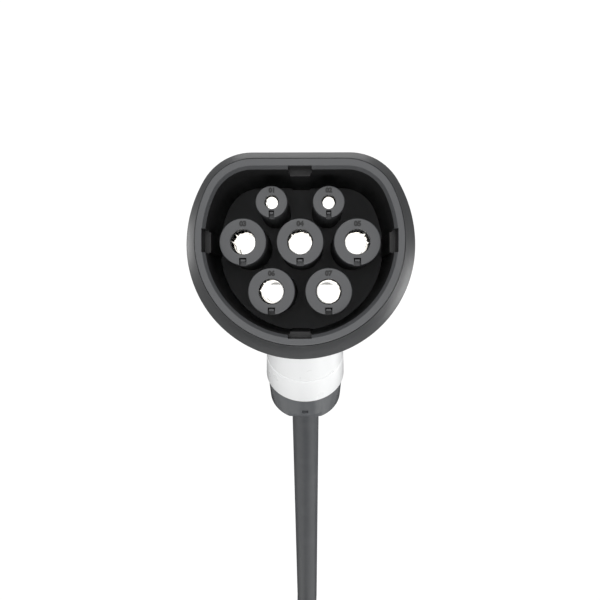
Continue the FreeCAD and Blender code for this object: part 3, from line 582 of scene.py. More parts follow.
def carve(piece: Piece, tools: Sequence[Piece], operation: str = "DIFFERENCE") -> Piece:
    """Cut tools from a piece, or join them to it.

    Args:
        piece: the object that changes.
        tools: closed helper objects, removed afterwards.
        operation: the Boolean modifier's operation.

    Returns:
        The same object.
    """
    for tool in tools:
        step = piece.modifiers.new("carve", "BOOLEAN")
        step.operation = operation
        step.solver = "EXACT"
        step.object = tool
    bake(piece)
    for tool in tools:
        discard(tool)
    return piece


def smooth(piece: Piece, angle: float = CRISP) -> Piece:
    """Shade a piece smoothly.

    Args:
        piece: the object.
        angle: edges sharper than this, in degrees, stay crisp.

    Returns:
        The same object.
    """
    piece.data.shade_smooth()
    piece.data.set_sharp_from_angle(angle=math.radians(angle))
    return piece


def join(name: str, pieces: Sequence[Piece]) -> Piece:
    """Put several objects' meshes into one object.

    Args:
        name: the new object's name.
        pieces: the objects, removed afterwards.

    Returns:
        The new object.
    """
    work = bmesh.new()
    for piece in pieces:
        work.from_mesh(piece.data)
    mesh = bpy.data.meshes.new(name)
    work.to_mesh(mesh)
    work.free()
    for piece in pieces:
        discard(piece)
    return put_in_scene(name, mesh)


def dress(piece: Piece, slot: Slot, finish: Finish | None = None) -> Piece:
    """Give a piece its finish and slot, and let it ride on the connector.

    Args:
        piece: the object.
        slot: its material slot in the record.
        finish: its finish, where that isn't the slot's own.

    Returns:
        The same object.
    """
    material = PALETTE.get(finish or FINISHES[slot])
    piece.data.materials.clear()
    piece.data.materials.append(material)
    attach(piece, "root")
    count = len(piece.data.polygons) if piece.type == "MESH" else len(piece.data.splines[0].points)
    LOG.info("%s: %d faces or points, %s", piece.name, count, material.name)
    return piece


def geometry_tree(name: str, inputs: Sequence[tuple[str, str]]) -> tuple[Tree, Node]:
    """Start a geometry tree that takes and gives geometry.

    Args:
        name: the tree's name.
        inputs: (name, socket type) of each further input.

    Returns:
        The tree and its group input.
    """
    tree = bpy.data.node_groups.new(name, "GeometryNodeTree")
    tree.interface.new_socket("Geometry", in_out="INPUT", socket_type="NodeSocketGeometry")
    for title, kind in inputs:
        tree.interface.new_socket(title, in_out="INPUT", socket_type=kind)
    tree.interface.new_socket("Geometry", in_out="OUTPUT", socket_type="NodeSocketGeometry")
    return tree, add_node(tree, "NodeGroupInput")


def end_tree(tree: Tree, source: Node, instances: Socket) -> None:
    """Close a tree with real geometry in the material of its input.

    Args:
        tree: the geometry tree.
        source: its group input.
        instances: the repeated pieces.
    """
    real = add_node(tree, "GeometryNodeRealizeInstances", {0: instances})
    paint = {"Geometry": real.outputs[0], "Material": source.outputs["Material"]}
    painted = add_node(tree, "GeometryNodeSetMaterial", paint)
    add_node(tree, "NodeGroupOutput", {0: painted.outputs[0]})


def run_tree(unit: Piece, tree: Tree, values: dict[str, Any]) -> Piece:
    """Run a geometry tree on an object and keep the result as its mesh.

    Args:
        unit: the object that the tree repeats.
        tree: the geometry tree.
        values: the tree's inputs by name.

    Returns:
        The same object with a plain mesh.
    """
    step = unit.modifiers.new("repeat", "NODES")
    step.node_group = tree
    for item in tree.interface.items_tree:
        if item.in_out == "INPUT" and item.name in values:
            step[item.identifier] = values[item.name]
    return bake(unit)


def row_tree() -> Tree:
    """Tree that repeats a piece along X about the middle, at a height.

    Returns:
        The tree, with inputs Count, Pitch, Height and Material.
    """
    sizes = [("Count", "NodeSocketInt"), ("Pitch", "NodeSocketFloat"), ("Height", "NodeSocketFloat")]
    tree, source = geometry_tree("contact_row", [*sizes, ("Material", "NodeSocketMaterial")])
    given = source.outputs
    gaps = add_node(tree, "ShaderNodeMath", {0: given["Count"], 1: 1.0}, operation="SUBTRACT")
    width = add_node(tree, "ShaderNodeMath", {0: gaps.outputs[0], 1: given["Pitch"]}, operation="MULTIPLY")
    left = add_node(tree, "ShaderNodeMath", {0: width.outputs[0], 1: -0.5}, operation="MULTIPLY")
    start = add_node(tree, "ShaderNodeCombineXYZ", {"X": left.outputs[0], "Z": given["Height"]})
    offset = add_node(tree, "ShaderNodeCombineXYZ", {"X": given["Pitch"]})
    steps = {"Count": given["Count"], "Start Location": start.outputs[0], "Offset": offset.outputs[0]}
    line = add_node(tree, "GeometryNodeMeshLine", steps, mode="OFFSET")
    spots = {"Points": line.outputs[0], "Instance": given["Geometry"]}
    placed = add_node(tree, "GeometryNodeInstanceOnPoints", spots)
    end_tree(tree, source, placed.outputs[0])
    return tree


def ring_tree() -> Tree:
    """Tree that repeats a piece round the Z axis, turned to face outwards.

    Returns:
        The tree, with inputs Count, Radius and Material.
    """
    sizes = [("Count", "NodeSocketInt"), ("Radius", "NodeSocketFloat")]
    tree, source = geometry_tree("ring_of_pieces", [*sizes, ("Material", "NodeSocketMaterial")])
    given = source.outputs
    circle = add_node(tree, "GeometryNodeMeshCircle", {"Vertices": given["Count"], "Radius": given["Radius"]})
    index = add_node(tree, "GeometryNodeInputIndex")
    step = add_node(tree, "ShaderNodeMath", {0: 2 * math.pi, 1: given["Count"]}, operation="DIVIDE")
    angle = add_node(tree, "ShaderNodeMath", {0: index.outputs[0], 1: step.outputs[0]}, operation="MULTIPLY")
    spin = add_node(tree, "ShaderNodeCombineXYZ", {"Z": angle.outputs[0]})
    spots = {"Points": circle.outputs[0], "Instance": given["Geometry"], "Rotation": spin.outputs[0]}
    placed = add_node(tree, "GeometryNodeInstanceOnPoints", spots)
    end_tree(tree, source, placed.outputs[0])
    return tree


def seat_tree() -> Tree:
    """Tree that sets a piece on each point of a mesh, its Z axis along the point's own axis.

    Returns:
        The tree, with inputs Piece and Material.
    """
    given = [("Piece", "NodeSocketObject"), ("Material", "NodeSocketMaterial")]
    tree, source = geometry_tree("pieces_on_seats", given)
    axis = add_node(tree, "GeometryNodeInputNamedAttribute", {"Name": "seat_axis"}, data_type="FLOAT_VECTOR")
    turn = add_node(tree, "FunctionNodeAlignRotationToVector", {"Vector": axis.outputs[0]}, axis="Z")
    piece = add_node(tree, "GeometryNodeObjectInfo", {"Object": source.outputs["Piece"]})
    spots = {"Points": source.outputs["Geometry"], "Instance": piece.outputs["Geometry"], "Rotation": turn.outputs[0]}
    placed = add_node(tree, "GeometryNodeInstanceOnPoints", spots)
    end_tree(tree, source, placed.outputs[0])
    return tree


SIDE_STEPS, CORNER_STEPS, TOP_STEPS = 14, 12, 10
HALF_STEPS = 2 * (SIDE_STEPS + CORNER_STEPS + TOP_STEPS)  # points over the top, and as many below


@dataclass(frozen=True)
class Outline:
    """The head's outline: a circle with a flat top, wide corners and slightly bulged upper sides."""

    radius: float
    top: float
    corner: float
    bulge: float = 3.8

    def grown(self, by: float) -> "Outline":
        """The outline moved outwards."""
        return Outline(self.radius + by, self.top + by, max(self.corner + by, 0.5), self.bulge)

    def points(self) -> list[Point]:
        """Points round the outline from the right middle over the top.

        Returns:
            The points, always the same count.
        """
        side = self.radius + self.bulge
        cz = self.top - self.corner
        cx = math.sqrt((side - self.corner) ** 2 - cz**2) - self.bulge
        lean = math.atan2(cz, cx + self.bulge)
        half: list[Point] = []
        for i in range(SIDE_STEPS):
            a = lean * i / SIDE_STEPS
            half.append((side * math.cos(a) - self.bulge, side * math.sin(a)))
        for i in range(CORNER_STEPS):
            a = lean + (math.pi / 2 - lean) * i / CORNER_STEPS
            half.append((cx + self.corner * math.cos(a), cz + self.corner * math.sin(a)))
        for i in range(TOP_STEPS):
            half.append((cx * (1 - i / TOP_STEPS), self.top))
        left = [(-x, z) for x, z in half[:0:-1]]
        below = []
        for i in range(HALF_STEPS):
            a = math.pi + math.pi * i / HALF_STEPS
            below.append((self.radius * math.cos(a), self.radius * math.sin(a)))
        return half + [(0.0, self.top)] + left + below

    def ring(self, y: float) -> list[Vector]:
        """The outline square to the contacts' axis at a depth."""
        return [Vector((x, y, z)) for x, z in self.points()]


@dataclass(frozen=True)
class ContactSize:
    """Radii and depths of one contact and its tower."""

    pin: float
    hole: float
    nose: float
    sleeve: float
    tower: float
    collar: float
    barrel: float
    wire: float
    slot_width: float
    socket_depth: float
    barrel_length: float
    figure: float  # height of its number


POWER = ContactSize(
    pin=3.0,
    hole=3.27,
    nose=3.7,
    sleeve=4.4,
    tower=5.98,
    collar=5.3,
    barrel=3.3,
    wire=1.8,
    slot_width=1.86,
    socket_depth=28.0,
    barrel_length=14.0,
    figure=1.5,
)
SIGNAL = ContactSize(
    pin=1.5,
    hole=1.8,
    nose=1.85,
    sleeve=2.3,
    tower=4.07,
    collar=3.1,
    barrel=1.8,
    wire=1.1,
    slot_width=1.37,
    socket_depth=8.4,
    barrel_length=10.0,
    figure=1.4,
)


@dataclass(frozen=True)
class Pattern:
    """The contact pattern and the depths that every part of the head shares."""

    pitch: float = 14.6
    rise: float = 10.2
    mouth: float = 6.0
    slot_length: float = 10.5
    slot_depth: float = 1.9
    slot_step: float = 3.6
    slot_channel: float = 0.75
    nose_front: float = 8.5
    sleeve_front: float = 17.5
    floor: float = 35.5
    plate: float = 4.5
    flange: float = 3.5
    boss: float = 12.0

    @property
    def drop(self) -> float:
        """Height from the middle row down to the lower one, in a triangle of equal sides."""
        return self.pitch * math.sin(math.radians(60))

    @property
    def back(self) -> float:
        """Depth of the floor plate's rear face."""
        return self.floor + self.plate

    @property
    def rear(self) -> float:
        """Depth of the rear faces of the bosses."""
        return self.floor + self.plate + self.boss

    def rows(self) -> tuple[tuple[int, float, ContactSize], ...]:
        """(count, height, size) of each row."""
        return ((3, 0.0, POWER), (2, -self.drop, POWER), (2, self.rise, SIGNAL))

    def contacts(self) -> dict[str, tuple[float, float, ContactSize]]:
        """X, Z and size of each contact by its short name."""
        p = self.pitch
        return {
            "cp": (-p / 2, self.rise, SIGNAL),
            "pp": (p / 2, self.rise, SIGNAL),
            "n": (-p, 0.0, POWER),
            "pe": (0.0, 0.0, POWER),
            "l1": (p, 0.0, POWER),
            "l3": (-p / 2, -self.drop, POWER),
            "l2": (p / 2, -self.drop, POWER),
        }


PATTERN = Pattern()
RIM = Outline(26.1, 20.2, 12.9)
RIM_INNER = Outline(24.4, 18.48, 11.05)
RECESS = Outline(23.65, 17.66, 10.3)
Stations = list[tuple[Outline, float]]


@dataclass
class MatingShroud:
    """Sleeve that meets the vehicle, with its chamfered lip, notches and guide ribs."""

    chamfer: float = 1.2
    chamfer_loops: tuple[float, ...] = (0.1, 0.18, 0.82, 0.9)  # shares of the chamfer; they hold its edges
    lip_loops: Corner = (0.06, 0.14, 0.08)  # from the lip's inner and outer edges
    hold: float = 0.1  # from an edge to the loop that holds it
    middle: float = 20.0  # depth of a loop half-way down
    notch_width: float = 5.9
    notch_length: float = 8.0
    notch_reach: float = 3.0  # of the tool, inwards
    rib_width: float = 5.2
    rib_proud: float = 0.7
    rib_root: float = 1.0  # inside the sleeve's wall
    rib_gap: float = 0.05
    edge: float = 0.2

    def between(self, t: float) -> Outline:
        """Outline on the chamfer, from the recess at 0 to the rim at 1."""
        low, high = (RECESS.radius, RECESS.top, RECESS.corner), (RIM_INNER.radius, RIM_INNER.top, RIM_INNER.corner)
        return Outline(*(a + (b - a) * t for a, b in zip(low, high)))

    def wall(self) -> Piece:
        """Loft the sleeve round its own wall.

        Returns:
            The plain sleeve.
        """
        e, chamfer, (inner, next_in, outer) = self.edge, self.chamfer, self.lip_loops
        stations: Stations = [(RECESS, PATTERN.back), (RECESS, self.middle)]
        stations += [(RECESS, chamfer + 2 * self.hold), (RECESS, chamfer + self.hold)]
        stations += [(self.between(t), chamfer * (1 - t)) for t in self.chamfer_loops]
        stations += [(RIM_INNER.grown(inner), 0.0), (RIM_INNER.grown(next_in), 0.0), (RIM.grown(-e - outer), 0.0)]
        stations += [(RIM.grown(-e + e * math.sin(a)), e - e * math.cos(a)) for a in quarter_turn()]
        stations += [(RIM, e + self.hold), (RIM, PATTERN.back)]
        return loft("mating_sleeve", [outline.ring(y) for outline, y in stations], True)

    def build(self) -> Piece:
        """Make the sleeve, then add the ribs and cut the notches.

        Returns:
            The sleeve.
        """
        cuts, ribs = [], []
        side, top = (RIM_INNER.radius, RECESS.radius), (RIM_INNER.top, RECESS.top)
        half, rib = self.notch_width / 2, self.rib_width / 2
        for angle, (reach, inner) in ((0, side), (90, top), (180, side), (270, side)):
            turn = Matrix.Rotation(math.radians(-angle), 3, "Y")
            low = Vector((reach - self.notch_reach, -OVERCUT, -half))
            cuts.append(box("notch", low, Vector((reach, self.notch_length, half)), turn))
            low = Vector((inner - self.rib_proud, self.notch_length + SLIP, -rib))
            ribs.append(box("rib", low, Vector((inner + self.rib_root, PATTERN.floor - self.rib_gap, rib)), turn))
        return smooth(carve(carve(self.wall(), ribs, "UNION"), cuts), 30)

    def dress(self, piece: Piece) -> None:
        """Finish the sleeve."""
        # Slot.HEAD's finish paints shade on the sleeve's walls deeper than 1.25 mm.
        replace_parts(dress(piece, Slot.HEAD), "mating_shroud")


@dataclass
class FrontBezel:
    """Flared collar round the sleeve, widest at its back edge."""

    front: float = 0.6
    edge: float = 18.0
    back: float = 20.0
    gap: float = 0.15
    ease: float = 0.04  # of the bore's edge
    hold: Corner = (0.05, 0.06, 0.1)  # loops that hold the edges
    rounding: float = 0.6
    steps: int = 16
    lip: Outline = Outline(26.4, 20.5, 13.15)
    middle: Outline = Outline(27.9, 22.0, 13.6)
    wide: Outline = Outline(30.8, 24.9, 15.0)

    def flank(self, t: float) -> tuple[Outline, float]:
        """A station on the flank, which curves through its middle.

        Args:
            t: share of the flank, from its lip.

        Returns:
            Outline and depth.
        """
        a, b, c = (1 - t) * (1 - 2 * t), 4 * t * (1 - t), t * (2 * t - 1)
        sizes = [
            a * first + b * second + c * third
            for first, second, third in (
                (self.lip.radius, self.middle.radius, self.wide.radius),
                (self.lip.top, self.middle.top, self.wide.top),
                (self.lip.corner, self.middle.corner, self.wide.corner),
            )
        ]
        return Outline(*sizes), self.front + (self.edge - self.front) * t

    def build(self) -> Piece:
        """Loft the collar round its own wall.

        Returns:
            The collar.
        """
        bore, wide, r, (lip, rim, last) = RIM.grown(self.gap), self.wide, self.rounding, self.hold
        stations: Stations = [(bore, self.back), (bore, self.back / 2), (bore, self.front + self.ease)]
        stations += [(bore.grown(self.ease), self.front), (self.lip.grown(-lip), self.front)]
        stations += [self.flank(t / (3 * self.steps)) for t in (0.5, 1)]
        stations += [self.flank(t / self.steps) for t in range(1, self.steps)]
        stations.append((wide.grown(-rim), self.edge - last))
        stations += [(wide.grown(-r + r * math.cos(a)), self.back - r + r * math.sin(a)) for a in quarter_turn()]
        return smooth(loft("flared_collar", [outline.ring(y) for outline, y in stations], True), 40)

    def dress(self, piece: Piece) -> None:
        """Finish the collar."""
        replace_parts(dress(piece, Slot.HEAD, BEZEL_NYLON), "front_bezel")


@dataclass
class ContactCarrier:
    """Insulator: recess floor with bosses behind it, and seven slotted towers seated in it."""

    draft: float = 0.12
    fit: float = 0.12
    seat_gap: float = 0.1
    hole_gap: float = 0.05
    foot: float = 2.0
    boss_wall: float = 0.2
    boss_foot: float = 0.5  # deeper in the plate than the tower's foot
    plate_gap: float = 0.15
    flange_inset: float = 0.4
    post: float = 3.0
    post_proud: float = 3.0
    posts: tuple[Point, ...] = ((0.0, 12.6), (-17.2, -9.9), (17.2, -9.9))
    key: float = 0.66  # share of the slot's width
    key_inset: float = 0.6
    key_root: float = 0.1
    stroke: float = 0.07  # widening of the digits' strokes, in units of the letter size
    print_depth: float = 0.01  # half the print's thickness, in the same units
    ink: float = 0.01  # from the tower's face to the middle of the print
    number_lift: float = 0.02

    def tower(self, size: ContactSize) -> Piece:
        """One tower: lipped mouth, stepped bore for the socket, slot below.

        Args:
            size: the contact's sizes.

        Returns:
            The tower on the Y axis.
        """
        p, bore, nose = PATTERN, size.sleeve + self.fit, size.nose + self.fit
        shoulder, front, foot = p.sleeve_front - self.seat_gap, p.nose_front - self.seat_gap, p.floor + self.foot
        profile = rounded(
            [
                (p.mouth, size.hole, 0.12),
                (p.mouth, size.tower, 0.3),
                (foot, size.tower + self.draft, 0.0),
                (foot, bore, 0.0),
                (shoulder, bore, 0.0),
                (shoulder, nose, 0.0),
                (front, nose, 0.0),
                (front, size.hole, 0.1),
            ]
        )
        piece = turned("tower", profile, ORIGIN, Y_AXIS)
        half, inner = size.slot_width / 2, -size.tower + p.slot_depth
        low = Vector((-half, p.mouth - OVERCUT, -size.tower - OVERCUT))
        shallow = box("slot", low, Vector((half, p.mouth + p.slot_step, inner)))
        low = Vector((-half, p.mouth, inner - p.slot_channel))
        channel = box("channel", low, Vector((half, p.mouth + p.slot_length, inner - 0.1 * SLIP)))
        low = Vector((-half * self.key, p.mouth + self.key_inset, inner - p.slot_channel - self.key_root))
        high = Vector((half * self.key, p.mouth + p.slot_step + self.key_root, inner - p.slot_channel / 2))
        return carve(carve(piece, [shallow, channel]), [box("key", low, high)], "UNION")

    def boss(self, size: ContactSize) -> Piece:
        """One boss behind the floor, its foot inside the plate.

        Args:
            size: the contact's sizes.

        Returns:
            The boss on the Y axis.
        """
        bore, outer = size.sleeve + self.fit, size.collar + self.boss_wall
        foot = PATTERN.floor + self.foot + self.boss_foot
        profile = rounded([(foot, bore, 0), (foot, outer, 0), (PATTERN.rear, outer, 0.2), (PATTERN.rear, bore, 0.1)])
        return turned("boss", profile, ORIGIN, Y_AXIS)

    def bore(self, size: ContactSize) -> Piece:
        """Tool for one hole in the floor, with the counterbore of the tower's foot.

        Args:
            size: the contact's sizes.

        Returns:
            The tool on the Y axis.
        """
        p = PATTERN
        hole, seat = size.sleeve + self.fit + self.hole_gap, size.tower + self.draft + self.seat_gap
        front, step, back = p.floor - OVERCUT, p.floor + self.foot, p.back + p.flange + OVERCUT
        profile = [(front, 0), (front, seat), (step, seat), (step, hole), (back, hole), (back, 0)]
        return turned("bore", profile, ORIGIN, Y_AXIS, 64)

    def build(self) -> tuple[Piece, Piece]:
        """Make the floor with its bosses and posts, and the towers, each row repeated by one tree.

        Returns:
            The floor and the towers.
        """
        p, rows = PATTERN, row_tree()
        inner, flange, back = RECESS.grown(-self.plate_gap), RIM.grown(-self.flange_inset), p.back
        stations: Stations = [(inner, p.floor), (inner, back), (flange, back), (flange, back + p.flange)]
        plate = loft("insulator_plate", [outline.ring(y) for outline, y in stations], False)
        bosses, towers, cuts = [], [], []
        same = {"Pitch": p.pitch * MM, "Material": PALETTE.get(INSULATOR_PBT)}
        for count, height, size in p.rows():
            values = {"Count": count, "Height": height * MM, **same}
            towers.append(run_tree(self.tower(size), rows, values))
            bosses.append(run_tree(self.boss(size), rows, values))
            cuts.append(run_tree(self.bore(size), rows, values))
        carve(plate, cuts)
        end = p.rear + self.post_proud
        profile = rounded([(back, 0, 0), (back, self.post, 0), (end, self.post, 0.3), (end, 0, 0)])
        bosses += [turned("post", profile, Vector((x, 0, z)), Y_AXIS, 32) for x, z in self.posts]
        return smooth(join("recess_floor", [plate, *bosses])), smooth(join("contact_tower_row", towers))

    def figure(self, body: str) -> Mesh:
        """Letter one number, its strokes slightly fattened.

        Args:
            body: its digits.

        Returns:
            A mesh in the XY plane.
        """
        text = bpy.data.curves.new("figure", "FONT")
        text.body = body
        text.extrude = self.print_depth
        text.offset = self.stroke
        text.resolution_u = 3
        word = put_in_scene("figure", text)
        graph = bpy.context.evaluated_depsgraph_get()
        mesh = bpy.data.meshes.new_from_object(word.evaluated_get(graph))
        discard(word)
        return mesh

    def numbers(self) -> Piece:
        """Print plain numbers 01 to 07 at the top of each tower's face.

        Returns:
            All seven numbers.
        """
        pieces = []
        for i, (x, z, size) in enumerate(PATTERN.contacts().values(), 1):
            mesh = self.figure(f"{i:02d}")
            xs, ys = [v.co.x for v in mesh.vertices], [v.co.y for v in mesh.vertices]
            grow = Matrix.Scale(size.figure * MM / (max(ys) - min(ys)), 4)
            middle = Matrix.Translation((-(max(xs) + min(xs)) / 2, -(max(ys) + min(ys)) / 2, 0))
            height = z + (size.hole + size.tower) / 2 + self.number_lift
            seat = Matrix.Translation(Vector((x, PATTERN.mouth - self.ink, height)) * MM)
            mesh.transform(seat @ Matrix.Rotation(math.pi / 2, 4, "X") @ grow @ middle)
            pieces.append(put_in_scene("figure", mesh))
        return join("contact_numbers", pieces)

    def dress(self, floor: Piece, towers: Piece, numbers: Piece) -> None:
        """Finish the insulator and its print.

        Args:
            floor: the recess floor.
            towers: the seven towers.
            numbers: the seven numbers.
        """
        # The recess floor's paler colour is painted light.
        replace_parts(dress(floor, Slot.INSULATOR, RECESS_PBT_PAINTED_LIGHT), "contact_carrier")
        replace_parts(dress(towers, Slot.INSULATOR), "contact_towers")
        dress(numbers, Slot.INSULATOR, PRINT_INK)


@dataclass
class Contacts:
    """Seven turned sockets: closed nose, slit sleeve held by a spring ring, collar and barrel."""

    clearance: float = 0.04
    chamfer: float = 1.2
    flat: float = 0.02  # left at the nose's end
    ease: float = 0.03  # of the bore's mouth
    groove: float = 0.4
    groove_length: float = 3.2
    groove_start: float = 3.0
    saw_width: float = 0.4
    skin: float = 0.15  # left inside each slit
    saw_length: float = 14.0
    collar_length: float = 3.0
    plate: float = 3.0
    crimp: float = 0.4  # the barrel's grip on its wire

    def socket(self, name: str, x: float, z: float, size: ContactSize) -> Piece:
        """One socket in its place.

        Args:
            name: the contact's short name.
            x: where its axis is.
            z: where its axis is.
            size: its sizes.

        Returns:
            The socket.
        """
        p, bore, front, shoulder = PATTERN, size.pin + self.clearance, PATTERN.nose_front, PATTERN.sleeve_front
        collar_end = p.rear + self.collar_length
        wire_start = collar_end + self.plate
        barrel_end = wire_start + size.barrel_length
        wire, deep = size.wire - self.crimp, front + size.socket_depth
        start, ring = shoulder + self.groove_start, size.sleeve - self.groove
        stop = start + self.groove_length
        profile = rounded(
            [
                (front, bore + self.flat, 0.01),
                (front + self.chamfer, size.nose, 0.0),
                (shoulder, size.nose, 0.0),
                (shoulder, size.sleeve, 0.2),
                (start, size.sleeve, 0.0),
                (start, ring, 0.0),
                (stop, ring, 0.0),
                (stop, size.sleeve, 0.0),
                (p.rear, size.sleeve, 0.0),
                (p.rear, size.collar, 0.15),
                (collar_end, size.collar, 0.15),
                (collar_end, size.barrel, 0.0),
                (barrel_end, size.barrel, 0.1),
                (barrel_end, wire, 0.1),
                (wire_start, wire, 0.0),
                (wire_start, 0.0, 0.0),
                (deep, 0.0, 0.0),
                (deep, bore, 0.15),
                (front + self.ease, bore, 0.01),
            ],
            3,
        )
        piece = turned(f"socket_{name}", profile, Vector((x, 0, z)), Y_AXIS, 64)
        place, half = Matrix.Translation((x, shoulder, z)), self.saw_width / 2
        low, high = Vector((-half, 0, bore + self.skin)), Vector((half, self.saw_length, size.sleeve + OVERCUT))
        turns = [Matrix.Rotation(math.radians(angle), 4, "Y") for angle in (45, 135, 225, 315)]
        return smooth(carve(piece, [box("saw", low, high, place @ turn) for turn in turns]))

    def build(self) -> dict[str, Piece]:
        """All seven sockets by contact."""
        return {name: self.socket(name, *spec) for name, spec in PATTERN.contacts().items()}

    def dress(self, pieces: dict[str, Piece]) -> None:
        """Finish the sockets."""
        for name, piece in pieces.items():
            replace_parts(dress(piece, Slot.SILVER), f"contact_{name}")


@dataclass(frozen=True)
class Spine:
    """Middle line of the housing: along the contacts' axis, round a bend, down the handle."""

    crossing: float = 133.0
    drop: float = math.radians(43.5)
    bend: float = 100.0
    grip_end: float = 56.0  # lengths down the handle, from the crossing
    ring_end: float = 70.0
    gland_end: float = 85.4

    @property
    def tangent(self) -> float:
        """Length from the crossing to either end of the bend."""
        return self.bend * math.tan(self.drop / 2)

    @property
    def bend_start(self) -> float:
        """Length along the middle line where the bend starts."""
        return self.crossing - self.tangent

    @property
    def axis(self) -> Vector:
        """Unit vector down the handle."""
        return Vector((0, math.cos(self.drop), -math.sin(self.drop)))

    @property
    def up(self) -> Vector:
        """Unit vector square to the handle, up and back."""
        return Vector((0, math.sin(self.drop), math.cos(self.drop)))

    def on_handle(self, s: float) -> Vector:
        """Point on the handle's axis, s from the crossing."""
        return Vector((0, self.crossing, 0)) + self.axis * s

    def at(self, s: float) -> tuple[Vector, Vector]:
        """A place on the middle line.

        Args:
            s: length along it.

        Returns:
            The point and its up vector.
        """
        start = self.bend_start
        if s <= start:
            return Vector((0, s, 0)), Z_AXIS.copy()
        turn = (s - start) / self.bend
        if turn < self.drop:
            up = Vector((0, math.sin(turn), math.cos(turn)))
            return Vector((0, start + self.bend * math.sin(turn), -self.bend * (1 - math.cos(turn)))), up
        return self.on_handle(s - start - self.bend * self.drop + self.tangent), self.up

    def length_at(self, s: float) -> float:
        """Length along the middle line of a point s down the handle."""
        return self.bend_start + self.bend * self.drop + s - self.tangent


SPINE = Spine()


@dataclass
class Housing:
    """Two white mouldings parted along the middle line, with six screws from below."""

    wall: float = 2.4
    front: float = 21.2
    front_ease: float = 0.3
    end_ease: float = 0.2
    end_gap: float = 0.05
    steps: int = 90
    core_steps: int = 40
    core_inset: float = 2.0
    seam: float = 0.16  # from the parting line to the full outline
    seam_ease: float = 0.18
    seam_gap: float = 0.02
    screw_radius: float = 1.45
    screw_head: float = 2.8
    screw_height: float = 2.2
    crown: float = 0.7  # share of the head's radius at its top
    crown_edge: float = 0.5  # share of the head's height that stands straight
    point: float = 0.2
    pilot: float = 1.3
    shank: float = 15.0
    tip: float = 1.5
    cross: Corner = (1.6, 0.35, 1.1)  # half length, half width and depth of the recess in the head
    cross_over: float = 0.2  # of its tool, above the head
    well_gap: float = 0.25
    well_wall: float = 0.6
    well_reach: float = 30.0
    well_top: float = 0.2
    head_screws: tuple[Corner, ...] = ((21.9, 66.0, 8.5), (16.6, 101.0, 7.5))  # across, along, depth of seat
    bend_screws: Corner = (10.7, 31.0, 8.4)  # across, degrees round the bend, depth of seat
    head_front: Outline = Outline(29.8, 24.2, 14.2)
    head: tuple[tuple[float, Outline], ...] = (
        (44.0, Outline(29.0, 23.7, 13.8)),
        (68.0, Outline(26.6, 22.8, 13.2)),
    )
    neck: tuple[Outline, ...] = (
        Outline(22.8, 21.0, 13.0),
        Outline(19.6, 18.9, 13.5),
        Outline(17.5, 17.15, 13.0),
        Outline(16.6, 16.35, 12.6),
    )
    end: Outline = Outline(17.3, 17.1, 13.4)

    @property
    def length_end(self) -> float:
        """Length along the middle line of the grip's end."""
        return SPINE.length_at(SPINE.grip_end)

    def stations(self) -> list[tuple[float, Outline]]:
        """The sections that the housing's shape is given by.

        Returns:
            Length along the middle line and outline of each.
        """
        start, arc = SPINE.bend_start, SPINE.bend * SPINE.drop
        bend = [(start + arc * i / 3, outline) for i, outline in enumerate(self.neck)]
        return [(self.front, self.head_front), *self.head, *bend, (self.length_end, self.end)]

    def section(self, s: float) -> Outline:
        """Outline at any length, smoothly between the given ones.

        Args:
            s: length along the middle line.

        Returns:
            The outline.
        """
        given = self.stations()
        i = max(0, min(len(given) - 2, sum(1 for at, _ in given if at <= s) - 1))
        span = given[i + 1][0] - given[i][0]
        t = (s - given[i][0]) / span

        def slope(k: int, pick: str) -> float:
            """Change of a size for each millimetre, at a given section."""
            a, b = max(k - 1, 0), min(k + 1, len(given) - 1)
            return (getattr(given[b][1], pick) - getattr(given[a][1], pick)) / (given[b][0] - given[a][0])

        h = 2 * t**3 - 3 * t**2 + 1, t**3 - 2 * t**2 + t, -2 * t**3 + 3 * t**2, t**3 - t**2
        sizes = []
        for pick in ("radius", "top", "corner"):
            first, last = getattr(given[i][1], pick), getattr(given[i + 1][1], pick)
            sizes.append(h[0] * first + h[1] * span * slope(i, pick) + h[2] * last + h[3] * span * slope(i + 1, pick))
        return Outline(*sizes)

    def full_ring(self, s: float, grow: float) -> list[Vector]:
        """Whole section at a length, moved in or out."""
        centre, up = SPINE.at(s)
        return [Vector((x, 0, 0)) + centre + up * z for x, z in self.section(s).grown(grow).points()]

    def half_ring(self, s: float, upper: bool, inset: float) -> list[Vector]:
        """Closed section of one moulding: its outer line and back along its inner one.

        Args:
            s: length along the middle line.
            upper: whether it is the upper moulding.
            inset: how far the outer line is moved in.

        Returns:
            Points of the section.
        """
        up = SPINE.at(s)[1]
        lines = []
        for grow in (-inset, -self.wall):
            ring = self.full_ring(s, grow)
            lines.append(ring[: HALF_STEPS + 1] if upper else ring[HALF_STEPS:] + ring[:1])
        outer, inner = lines
        sign = 1 if upper else -1
        lift, ease, gap = up * self.seam * sign, X_AXIS * self.seam_ease * sign, up * self.seam_gap * sign
        first, last = outer[0] - ease + gap, outer[-1] + ease + gap
        return [first, outer[0] + lift, *outer[1:-1], outer[-1] + lift, last, *inner[::-1]]

    def shell(self, upper: bool) -> Piece:
        """One moulding as a closed shell with eased edges.

        Args:
            upper: whether it is the upper moulding.

        Returns:
            The shell.
        """
        front, end, steps = self.front, self.length_end, self.steps
        spots = [(front, self.front_ease), (front + self.front_ease, 0.0)]
        spots += [(front + (end - front) * i / steps, 0.0) for i in range(1, steps)]
        spots += [(end - self.end_gap - self.end_ease, 0.0), (end - self.end_gap, self.end_ease)]
        rings = [self.half_ring(s, upper, inset) for s, inset in spots]
        return loft("upper_moulding" if upper else "lower_moulding", rings, False)

    def seats(self) -> list[tuple[Vector, Vector, float]]:
        """Point on the joint, up vector and depth of the head's seat of each screw.

        Returns:
            All six seats.
        """
        across, turn, deep = self.bend_screws
        centre, up = SPINE.at(SPINE.bend_start + SPINE.bend * math.radians(turn))
        places = []
        for side in (-1, 1):
            places += [(Vector((x * side, y, 0)), Z_AXIS.copy(), seat) for x, y, seat in self.head_screws]
            places.append((centre + Vector((across * side, 0, 0)), up, deep))
        return places

